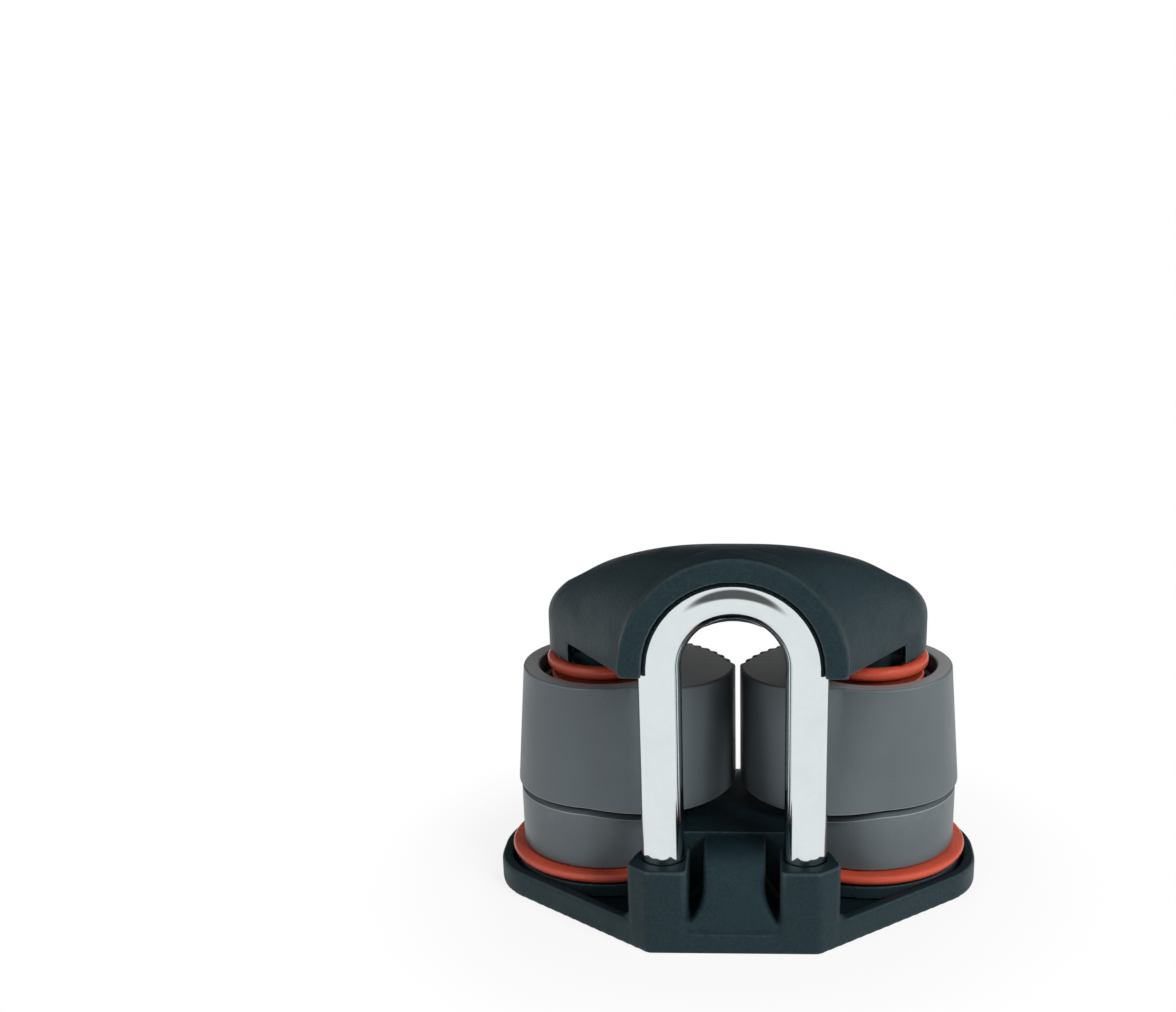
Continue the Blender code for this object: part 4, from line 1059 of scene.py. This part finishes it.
class FAIRLEAD_OT_cams(bpy.types.Operator):
    """Make both toothed cams"""

    bl_idname = "fairlead.cams"
    bl_label = "Cams"

    def execute(self, context):
        scene = context.scene
        sizes = scene.fairlead_cams
        bearings = scene.fairlead_bearings
        gaps = scene.fairlead_gaps
        ring_low = scene.fairlead_base.wall_height + gaps.rest
        low = ring_low + bearings.lower_ring_height + gaps.ring
        spring_top = ring_low + bearings.spring_wire + bearings.spring_pitch * bearings.spring_turns
        room_top = spring_top + bearings.spring_wire + gaps.rest
        coat = hard_coat(scene.fairlead_finishes)
        for word, sign in SIDES:
            cam = surface(f"cam_body_{word}", cam_points(sizes, sign, low, room_top), close_rows=True)
            finish(cam, coat, "hard_coat_grey", f"{word}_cam", f"cam_{word}")
        return {"FINISHED"}


# Rings, sleeves, balls, springs and screws

def ring_profile(inner, outer, low, height):
    """Section of a bearing ring: square inside with eased corners, and a half-round outer edge."""
    angle = np.linspace(-0.5 * math.pi, 0.5 * math.pi, 25)
    bead = np.column_stack((outer - 0.5 * height * (1.0 - np.cos(angle)),
                            low + 0.5 * height * (1.0 + np.sin(angle))))
    middle = 0.5 * (inner + outer)
    eased = 0.25 * MM
    inside = round_profile(((middle, low + height), (inner, low + height), (inner, low), (middle, low)),
                           (eased, eased), steps=5)
    return np.vstack((inside, bead))


def bead_profile(sizes, seat, low):
    """Section of the upper ring: a flat seat in the cam's recess, a neck, and a round bead on top."""
    seat_top = low + sizes.upper_ring_seat
    inner, outer, top = sizes.upper_ring_inner, sizes.upper_ring, sizes.upper_ring_top
    under = top - sizes.upper_ring_bead
    neck = outer - 0.5 * sizes.upper_ring_bead
    middle = 0.5 * (low + top)
    half = 0.42 * sizes.upper_ring_bead
    eased = 0.2 * MM
    return round_profile(((inner, middle), (inner, low), (seat, low), (seat, seat_top), (neck, seat_top),
                          (neck, under), (outer, under), (outer, top), (inner, top),
                          (inner, middle + 0.5 * MM)),
                         (eased, eased, eased, 0.5 * eased, eased, half, half, half), steps=10)


class FAIRLEAD_OT_rings(bpy.types.Operator):
    """Make the four orange bearing rings"""

    bl_idname = "fairlead.rings"
    bl_label = "Bearing rings"

    def execute(self, context):
        scene = context.scene
        sizes = scene.fairlead_bearings
        cams = scene.fairlead_cams
        gaps = scene.fairlead_gaps
        lower = ring_profile(sizes.lower_ring_inner, sizes.lower_ring,
                             scene.fairlead_base.wall_height + gaps.rest, sizes.lower_ring_height)
        seat_low = cams.top - cams.recess_depth + gaps.running
        upper = bead_profile(sizes, sizes.upper_ring - 0.3 * sizes.upper_ring_bead, seat_low)
        orange = orange_moulding(scene.fairlead_finishes)
        for word, sign in SIDES:
            low_ring = surface(f"ring_under_{word}", turned(lower, sign * PIVOT_X), close_rows=True)
            finish(low_ring, orange, "orange_ring", "fairlead", f"lower_ring_{word}")
            top_ring = surface(f"ring_over_{word}", turned(upper, sign * PIVOT_X), close_rows=True)
            finish(top_ring, orange, "orange_ring", f"{word}_cam", f"upper_ring_{word}")
        return {"FINISHED"}


def ball_row_parts(sizes, cams, sign, height):
    """Points and faces of one row: balls as spheres of latitude and longitude, on a wire cage.

    Each ball is its radius times (cos of longitude times sin of latitude, and so on) about its own
    place on the pitch circle. The cage is a circle of wire carried round the same circle.
    """
    centre = 0.5 * (sizes.sleeve + cams.bore)
    rows, columns, wire_sides, cage_sides = 15, 24, 12, 96
    latitude = np.linspace(0.0, math.pi, rows)[:, None]
    longitude = np.linspace(0.0, TURN, columns, endpoint=False)[None, :]
    ball = sizes.ball * np.stack((np.sin(latitude) * np.cos(longitude),
                                  np.sin(latitude) * np.sin(longitude),
                                  np.broadcast_to(np.cos(latitude), (rows, columns))), axis=-1)
    station = np.arange(sizes.balls) * TURN / sizes.balls
    places = np.column_stack((sign * PIVOT_X + centre * np.cos(station), centre * np.sin(station),
                              np.full(sizes.balls, height)))
    points = (places[:, None, None] + ball[None]).reshape(-1, 3)
    faces = grid_faces(rows, columns, False, True)
    faces = (np.arange(sizes.balls)[:, None, None] * ball[..., 0].size + faces[None]).reshape(-1, 4)
    around = np.linspace(0.0, TURN, wire_sides, endpoint=False)
    section = np.column_stack((centre + sizes.cage * np.cos(around),
                               height + sizes.cage * np.sin(around)))
    cage = turned(section, sign * PIVOT_X, cage_sides)
    cage_faces = grid_faces(wire_sides, cage_sides, True, True) + len(points)
    return np.vstack((points, cage.reshape(-1, 3))), np.vstack((faces, cage_faces))


class FAIRLEAD_OT_bearings(bpy.types.Operator):
    """Make the pivot sleeves and the rows of balls that run on them"""

    bl_idname = "fairlead.bearings"
    bl_label = "Sleeves and balls"

    def execute(self, context):
        scene = context.scene
        sizes = scene.fairlead_bearings
        cams = scene.fairlead_cams
        gap = scene.fairlead_gaps.rest
        hole = sizes.screw + gap
        low = scene.fairlead_base.wall_height - scene.fairlead_cleat.sleeve_recess + gap
        top = cams.top + sizes.sleeve_proud
        middle = 0.5 * (low + top)
        profile = round_profile(((hole, middle), (hole, low), (sizes.sleeve, low), (sizes.sleeve, top),
                                 (hole, top), (hole, middle + 1.0 * MM)),
                                (0.2 * MM, 0.3 * MM, 0.4 * MM, 0.3 * MM), steps=5)
        steel = plain_steel(scene.fairlead_finishes)
        for word, sign in SIDES:
            sleeve = surface(f"sleeve_{word}", turned(profile, sign * PIVOT_X, 128), close_rows=True)
            finish(sleeve, steel, "plain_steel", "fairlead", f"pivot_sleeve_{word}")
            for level, name in enumerate(LEVELS):
                height = sizes.row_first + level * sizes.row_spacing
                points, faces = ball_row_parts(sizes, cams, sign, height)
                row = link(f"balls_{name}_{word}", clean_mesh("balls", points, faces))
                finish(row, steel, "plain_steel", "fairlead", f"ball_row_{name}_{word}")
        return {"FINISHED"}


def spring_leg(sizes, sign):
    """Where the spring's lower leg goes down into the cleat base."""
    start = (math.pi if sign > 0 else 0.0) - sign * TURN * sizes.spring_turns
    return sign * PIVOT_X + sizes.spring * math.cos(start), sizes.spring * math.sin(start)


def spring_path(sizes, sign, foot, low):
    """Centre line of a spring: a leg up from the base, a rising coil and a leg out into the cam."""
    end = math.pi if sign > 0 else 0.0
    steps = 240
    angle = np.linspace(end - sign * TURN * sizes.spring_turns, end, steps)
    rise = np.linspace(0.0, sizes.spring_pitch * sizes.spring_turns, steps)
    coil = np.column_stack((sign * PIVOT_X + sizes.spring * np.cos(angle),
                            sizes.spring * np.sin(angle), low + rise))
    leg = coil[0] + np.outer((foot - low, -0.6 * sizes.spring_wire), (0.0, 0.0, 1.0))
    reach = np.array((0.3, 0.6, 1.0))[:, None] * sizes.spring_leg
    outward = coil[-1] + reach * (math.cos(end), math.sin(end), 0.0)
    return np.vstack((leg, coil[2:-2], outward))


class FAIRLEAD_OT_springs(bpy.types.Operator):
    """Make the torsion springs under the cams"""

    bl_idname = "fairlead.springs"
    bl_label = "Torsion springs"

    def execute(self, context):
        scene = context.scene
        sizes = scene.fairlead_bearings
        base = scene.fairlead_base
        gap = scene.fairlead_gaps.rest
        foot = base.floor + gap + sizes.spring_foot
        low = base.wall_height + gap + sizes.spring_wire
        steel = plain_steel(scene.fairlead_finishes)
        for word, sign in SIDES:
            path = evenly_along(spring_path(sizes, sign, foot, low), 0.3 * MM)
            spring = surface(f"spring_{word}", carried(path, sizes.spring_wire, sides=16, crown=4))
            finish(spring, steel, "plain_steel", "fairlead", f"torsion_spring_{word}")
        return {"FINISHED"}


def screw_points(sizes, centre_x):
    """A countersunk screw: circles up to the head, then hexagons that go down into the socket.

    A hexagon's radius at an angle is that of its flats over the cosine of the angle from the
    nearest flat's middle.
    """
    top, rim = sizes.head_top, sizes.head_top - sizes.head_rim
    cone_low = rim - (sizes.head - sizes.screw)
    outside = round_profile(((0.0, sizes.screw_end), (sizes.screw, sizes.screw_end),
                             (sizes.screw, cone_low), (sizes.head, rim), (sizes.head, top),
                             (sizes.hexagon + 0.5 * MM, top)),
                            (0.6 * MM, 0.5 * MM, 0.1 * MM, 0.15 * MM), steps=5)
    sides = 120
    angle = np.linspace(0.0, TURN, sides, endpoint=False)
    flat = sizes.hexagon * math.cos(math.pi / 6.0)
    hexagon = flat / np.cos((angle % (math.pi / 3.0)) - math.pi / 6.0)
    floor = top - sizes.hexagon_depth
    socket = ((1.06, top), (1.0, top - 0.12 * MM), (1.0, floor + 0.05 * MM), (0.96, floor),
              (0.0, floor - 0.2 * MM))
    radius = np.vstack((np.broadcast_to(outside[:, :1], (len(outside), sides)),
                        [size * hexagon for size, height in socket]))
    height = np.concatenate((outside[:, 1], [height for size, height in socket]))[:, None]
    return np.stack((centre_x + radius * np.cos(angle), radius * np.sin(angle),
                     np.broadcast_to(height, radius.shape)), axis=-1)


class FAIRLEAD_OT_screws(bpy.types.Operator):
    """Make the two mounting screws"""

    bl_idname = "fairlead.screws"
    bl_label = "Mounting screws"

    def execute(self, context):
        scene = context.scene
        steel = polished_steel(scene.fairlead_finishes)
        for word, sign in SIDES:
            screw = surface(f"screw_{word}", screw_points(scene.fairlead_bearings, sign * PIVOT_X))
            finish(screw, steel, "polished_steel", "fairlead", f"mounting_screw_{word}")
        return {"FINISHED"}


# Bridge

def arches(y, half, low, side_z, top, fullness, inset=0.0, steps=96):
    """Upright arches at each y, with straight legs.

    Across the arch x goes with the sine of an even angle, and the height over the side is the rise
    times the square root of (1 - the share of the half width to the power of the fullness).
    """
    across = np.sin(np.linspace(0.5 * math.pi, -0.5 * math.pi, steps + 1))[None, :]
    y, half, top, fullness = (np.broadcast_to(np.atleast_1d(value), np.shape(y))[:, None]
                              for value in (y, half, top, fullness))
    x = (half - inset) * across
    z = side_z + (top - inset - side_z) * np.sqrt(np.maximum(1.0 - np.abs(across) ** fullness, 0.0))
    legs = np.full_like(y, low)
    x = np.hstack((half - inset, x, inset - half))
    z = np.hstack((legs, z, legs))
    return np.stack((x, np.broadcast_to(y, x.shape), z), axis=-1)


def bridge_half_width(y, sizes):
    """Half width of the bridge: round ends about the pivots and a tangent line to the lip."""
    start_x, start_y = sizes.lip - sizes.lip_step, sizes.wing_front
    distance = math.hypot(PIVOT_X - start_x, -start_y)
    heading = math.atan2(-start_y, PIVOT_X - start_x) - math.asin(sizes.end_radius / distance)
    touch_y = start_y + math.sqrt(distance ** 2 - sizes.end_radius ** 2) * math.sin(heading)
    line = start_x + (y - start_y) / math.tan(heading)
    end = PIVOT_X + np.sqrt(np.maximum(sizes.end_radius ** 2 - y ** 2, 0.0))
    return np.where(y < touch_y, line, end)


def bridge_top(y, sizes):
    """Height along the middle: it falls with a power of the share of the way, and rounds at the back."""
    way = np.clip((y - sizes.wing_front) / (sizes.back_y - sizes.wing_front), 0.0, 1.0)
    height = sizes.crest_z - (sizes.crest_z - sizes.back_crest_z) * way ** sizes.fall
    past = np.maximum(y - (sizes.back_y - sizes.back_round), 0.0)
    return height - sizes.back_round + np.sqrt(np.maximum(sizes.back_round ** 2 - past ** 2, 0.0))


def bridge_skin(name, sizes, front, back, low, inset):
    """Outer form of the bridge between two places, or the same form moved inwards."""
    y = front + (back - front) * np.sin(np.linspace(0.0, 0.5 * math.pi, 48))
    way = (y - sizes.wing_front) / (sizes.back_y - sizes.wing_front)
    fullness = sizes.fullness + sizes.fullness_gain * np.sin(math.pi * way)
    return solid(name, arches(y, bridge_half_width(y, sizes), low, sizes.side_z, bridge_top(y, sizes),
                              fullness, inset))


def lip_form(sizes):
    """The round-edged lip: half rings whose inset follows a quarter circle at the front."""
    angle = np.linspace(0.5 * math.pi, 0.0, 9)
    inset = np.append(sizes.lip_edge * (1.0 - np.cos(angle)), 0.0)
    y = np.append(sizes.lip_front + sizes.lip_edge * (1.0 - np.sin(angle)), sizes.lip_back)
    return solid("lip", arches(y, sizes.lip - inset, sizes.lip_foot, sizes.side_z,
                               sizes.side_z + sizes.lip - inset, 2.0))


def tunnel_form(name, sizes, bail_y, front, back, wall, low):
    """The rope tunnel, or its wall: an arch that sinks evenly and flares with a square at the back."""
    y = np.linspace(front, back, 30)
    way = (y - bail_y) / (sizes.back_y - bail_y)
    bell = np.maximum((y - sizes.tunnel_flare_y) / (sizes.back_y - sizes.tunnel_flare_y), 0.0) ** 2
    half = sizes.tunnel + sizes.tunnel_flare * bell
    sunk = sizes.tunnel_front + (sizes.tunnel_back - sizes.tunnel_front) * way
    roof = sunk + sizes.tunnel_roof_flare * bell
    return solid(name, arches(y, half + wall, low, sizes.underside_z, roof + wall, 2.0, steps=64))


def bail_channel(bail, radius):
    """A round channel along the bail's legs and arch."""
    path = evenly_along(bail_path(bail, 0.5 * bail.arc_z), 1.0 * MM)
    return surface("channel", carried(path, radius, sides=48))


class FAIRLEAD_OT_bridge(bpy.types.Operator):
    """Make the moulded bridge with its lip, rope tunnel and screw seats"""

    bl_idname = "fairlead.bridge"
    bl_label = "Bridge"

    def execute(self, context):
        scene = context.scene
        sizes = scene.fairlead_bridge
        bail = scene.fairlead_bail
        bearings = scene.fairlead_bearings
        gaps = scene.fairlead_gaps
        far = 2.0 * sizes.crest_z
        bridge = bridge_skin("bridge", sizes, sizes.wing_front, sizes.back_y, sizes.foot_z, 0.0)
        under = cuboid("underside", (-sizes.foot_x, -far, 0.0), (sizes.foot_x, far, sizes.underside_z))
        inside = bridge_skin("inside", sizes, sizes.wing_front + sizes.front_wall,
                             sizes.back_y - sizes.wall, 0.0, sizes.wall)
        shape_with(bridge, "DIFFERENCE", [under, inside])
        boss_low = scene.fairlead_cams.top + bearings.sleeve_proud + gaps.rest
        bosses = shafts("boss", ((sizes.boss, boss_low), (sizes.boss, sizes.boss_top)))
        tunnel_wall = tunnel_form("tunnel wall", sizes, bail.y, sizes.wing_front + sizes.wall,
                                  sizes.back_y - 0.5 * sizes.wall, sizes.tunnel_wall, sizes.underside_z)
        shape_with(bridge, "UNION", [*bosses, tunnel_wall, lip_form(sizes)])
        mouth_y = np.array((bail.y - 2.0 * bail.wire, bail.y))
        mouth = solid("mouth", arches(mouth_y, sizes.mouth, 0.0, sizes.side_z,
                                      sizes.side_z + sizes.mouth, 2.0))
        tunnel = tunnel_form("tunnel", sizes, bail.y, bail.y - gaps.seat, sizes.back_y + gaps.rest,
                             wall=0.0, low=0.0)
        head = bearings.head + gaps.rest
        hole = bearings.screw + gaps.rest
        cone_low = bearings.head_top - bearings.head_rim - (bearings.head - bearings.screw) - gaps.rest
        ring_step = 0.3 * MM
        walls = [(head, height)
                 for height in np.arange(cone_low + head - hole, sizes.crest_z, ring_step)]
        seat = ((hole, 0.5 * boss_low), (hole, cone_low), *walls, (head, far))
        seats = shafts("screw seat", seat, sides=128)
        shape_with(bridge, "DIFFERENCE", [mouth, bail_channel(bail, bail.wire + gaps.seat), tunnel])
        moulded(bridge, voxel=0.22 * MM, passes=10, kept=0.5, drills=seats)
        finish(bridge, black_moulding(scene.fairlead_finishes), "black_moulding", "fairlead",
               "fairlead_bridge")
        return {"FINISHED"}


# Studio

def add_lamp(name, place, target, size, watts):
    """A soft square lamp that faces a point."""
    lamp = bpy.data.lights.new(name, "AREA")
    lamp.size = size
    lamp.energy = watts
    thing = bpy.data.objects.new(name, lamp)
    thing.location = place
    thing.visible_glossy = False
    bpy.context.scene.collection.objects.link(thing)
    direction = np.array(target) - np.array(place)
    heading = math.atan2(direction[1], direction[0])
    pitch = math.atan2(-direction[2], math.hypot(direction[0], direction[1]))
    thing.rotation_euler = (0.5 * math.pi - pitch, 0.0, heading - 0.5 * math.pi)
    return thing


def sky_part(tree, direction, weights, start, stop, low):
    """A factor that goes from 1 to low as the direction's product with the weights passes two marks."""
    product = add_node(tree, "ShaderNodeVectorMath", {1: weights}, operation="DOT_PRODUCT")
    ramp = smooth_range(tree, {"From Min": start, "From Max": stop, "To Min": 1.0, "To Max": low})
    wire(tree, (direction, product.inputs[0]),
         (product.outputs["Value"], ramp.inputs["Value"]))
    return ramp.outputs["Result"]


def studio_world(sky_level, flag, back):
    """A world that is plain white to the camera and an even soft sky to the object.

    In gloss it is white, but dim high at the back and behind a small dark flag that hangs in front.
    """
    world = bpy.data.worlds.new("studio")
    world.use_nodes = True
    tree = world.node_tree
    backdrop = tree.nodes["Background"]
    backdrop.inputs["Color"].default_value = WHITE
    sky = add_node(tree, "ShaderNodeBackground", {"Color": WHITE})
    direction = add_node(tree, "ShaderNodeTexCoord").outputs["Generated"]
    path = add_node(tree, "ShaderNodeLightPath")
    level = add_node(tree, "ShaderNodeMix", {"A": sky_level}, data_type="FLOAT")
    dimmed = add_node(tree, "ShaderNodeMath", operation="MULTIPLY")
    mix = add_node(tree, "ShaderNodeMixShader")
    to_flag = (0.0, -0.906, 0.423)
    to_back = (0.0, 0.766, 0.643)
    wire(tree, (path.outputs["Is Glossy Ray"], level.inputs["Factor"]),
         (sky_part(tree, direction, to_flag, 0.87, 0.95, flag), dimmed.inputs[0]),
         (sky_part(tree, direction, to_back, 0.25, 0.7, back), dimmed.inputs[1]),
         (dimmed.outputs[0], level.inputs["B"]),
         (level.outputs["Result"], sky.inputs["Strength"]),
         (path.outputs["Is Camera Ray"], mix.inputs[0]),
         (sky.outputs[0], mix.inputs[1]),
         (backdrop.outputs[0], mix.inputs[2]),
         (mix.outputs[0], tree.nodes["World Output"].inputs["Surface"]))
    bpy.context.scene.world = world


def floor_material(colour_value, clear_radius, white_radius):
    """A pale floor that fades to plain white away from the object, to the camera and in gloss."""
    material = bpy.data.materials.new("floor")
    material.use_nodes = True
    tree = material.node_tree
    shader = tree.nodes["Principled BSDF"]
    shader.inputs["Base Color"].default_value = (*(0.6 * part for part in colour_value), 1.0)
    shader.inputs["Roughness"].default_value = 0.75
    glow = add_node(tree, "ShaderNodeEmission", {"Color": (*colour_value, 1.0), "Strength": 1.0})
    where = add_node(tree, "ShaderNodeTexCoord")
    distance = add_node(tree, "ShaderNodeVectorMath", operation="LENGTH")
    fade = smooth_range(tree, {"From Min": clear_radius, "From Max": white_radius, "To Min": 0.84})
    path = add_node(tree, "ShaderNodeLightPath")
    seen_by = add_node(tree, "ShaderNodeMath", operation="MAXIMUM")
    seen = add_node(tree, "ShaderNodeMath", operation="MULTIPLY")
    mix = add_node(tree, "ShaderNodeMixShader")
    wire(tree, (where.outputs["Object"], distance.inputs[0]),
         (distance.outputs["Value"], fade.inputs["Value"]),
         (fade.outputs["Result"], seen.inputs[0]),
         (path.outputs["Is Camera Ray"], seen_by.inputs[0]),
         (path.outputs["Is Glossy Ray"], seen_by.inputs[1]),
         (seen_by.outputs[0], seen.inputs[1]),
         (seen.outputs[0], mix.inputs[0]),
         (shader.outputs[0], mix.inputs[1]),
         (glow.outputs[0], mix.inputs[2]),
         (mix.outputs[0], tree.nodes["Material Output"].inputs["Surface"]))
    return material


class FAIRLEAD_OT_stage(bpy.types.Operator):
    """Make the floor, the soft light and the camera"""

    bl_idname = "fairlead.stage"
    bl_label = "Studio"

    def execute(self, context):
        scene = context.scene
        finishes = scene.fairlead_finishes
        half = 3.0
        corners = ((-half, -half, 0.0), (half, -half, 0.0), (half, half, 0.0), (-half, half, 0.0))
        mesh = bpy.data.meshes.new("floor")
        mesh.from_pydata(corners, [], [(0, 1, 2, 3)])
        mesh.materials.append(floor_material(tuple(finishes.backdrop), clear_radius=0.034,
                                             white_radius=0.06))
        link("floor", mesh)
        studio_world(sky_level=0.24, flag=0.12, back=0.1)
        middle = (0.0, 0.0, 0.025)
        add_lamp("key lamp", (0.45, -0.45, 0.48), middle, size=0.28, watts=7.5)
        add_lamp("fill lamp", (-0.45, -0.5, 0.42), middle, size=0.4, watts=2.2)
        add_lamp("back lamp", (0.1, 0.7, 0.25), middle, size=0.4, watts=3.0)
        camera = bpy.data.cameras.new("camera")
        camera.sensor_width = 36.0
        camera.lens = 52.0408
        camera.shift_x = -0.127679
        camera.shift_y = 0.202381
        camera.clip_start = 0.01
        viewer = bpy.data.objects.new("camera", camera)
        viewer.location = (0.0060591, -0.2313883, 0.1144602)
        viewer.rotation_euler = (1.1833311, 0.0032319, 0.0248610)
        scene.collection.objects.link(viewer)
        scene.camera = viewer
        scene.view_settings.view_transform = "Standard"
        return {"FINISHED"}


class FAIRLEAD_PT_panel(bpy.types.Panel):
    """Lists the makers of the fairlead's pieces"""

    bl_idname = "FAIRLEAD_PT_panel"
    bl_label = "Angle fairlead"
    bl_space_type = "VIEW_3D"
    bl_region_type = "UI"
    bl_category = "Fairlead"

    def draw(self, context):
        for operator in OPERATORS:
            self.layout.operator(operator.bl_idname)
        for name in GROUPS:
            group = getattr(context.scene, name)
            box = self.layout.box()
            box.label(text=name.replace("_", " ").capitalize())
            for key in group.bl_rna.properties.keys():
                if key not in ("rna_type", "name"):
                    box.prop(group, key)


GROUPS = {
    "fairlead_gaps": FairleadGaps,
    "fairlead_base": FairleadBaseSizes,
    "fairlead_cleat": FairleadCleatSizes,
    "fairlead_bail": FairleadBailSizes,
    "fairlead_cams": FairleadCamSizes,
    "fairlead_bearings": FairleadBearingSizes,
    "fairlead_bridge": FairleadBridgeSizes,
    "fairlead_finishes": FairleadFinishes,
}
OPERATORS = (FAIRLEAD_OT_stage, FAIRLEAD_OT_base, FAIRLEAD_OT_cleat_base, FAIRLEAD_OT_bridge,
             FAIRLEAD_OT_bail, FAIRLEAD_OT_cams, FAIRLEAD_OT_rings, FAIRLEAD_OT_bearings,
             FAIRLEAD_OT_springs, FAIRLEAD_OT_screws)
CLASSES = (*GROUPS.values(), *OPERATORS, FAIRLEAD_PT_panel)


def register():
    """Register the classes and hang the property groups on the scene."""
    for entry in CLASSES:
        bpy.utils.register_class(entry)
    for name, group in GROUPS.items():
        setattr(bpy.types.Scene, name, PointerProperty(type=group))


def unregister():
    """Take the property groups and classes away again."""
    for name in GROUPS:
        delattr(bpy.types.Scene, name)
    for entry in reversed(CLASSES):
        bpy.utils.unregister_class(entry)


def main():
    """Make everything in order."""
    register()
    bpy.ops.fairlead.stage()
    bpy.ops.fairlead.base()
    bpy.ops.fairlead.cleat_base()
    bpy.ops.fairlead.bridge()
    bpy.ops.fairlead.bail()
    bpy.ops.fairlead.cams()
    bpy.ops.fairlead.rings()
    bpy.ops.fairlead.bearings()
    bpy.ops.fairlead.springs()
    bpy.ops.fairlead.screws()


if __name__ == "__main__":
    main()
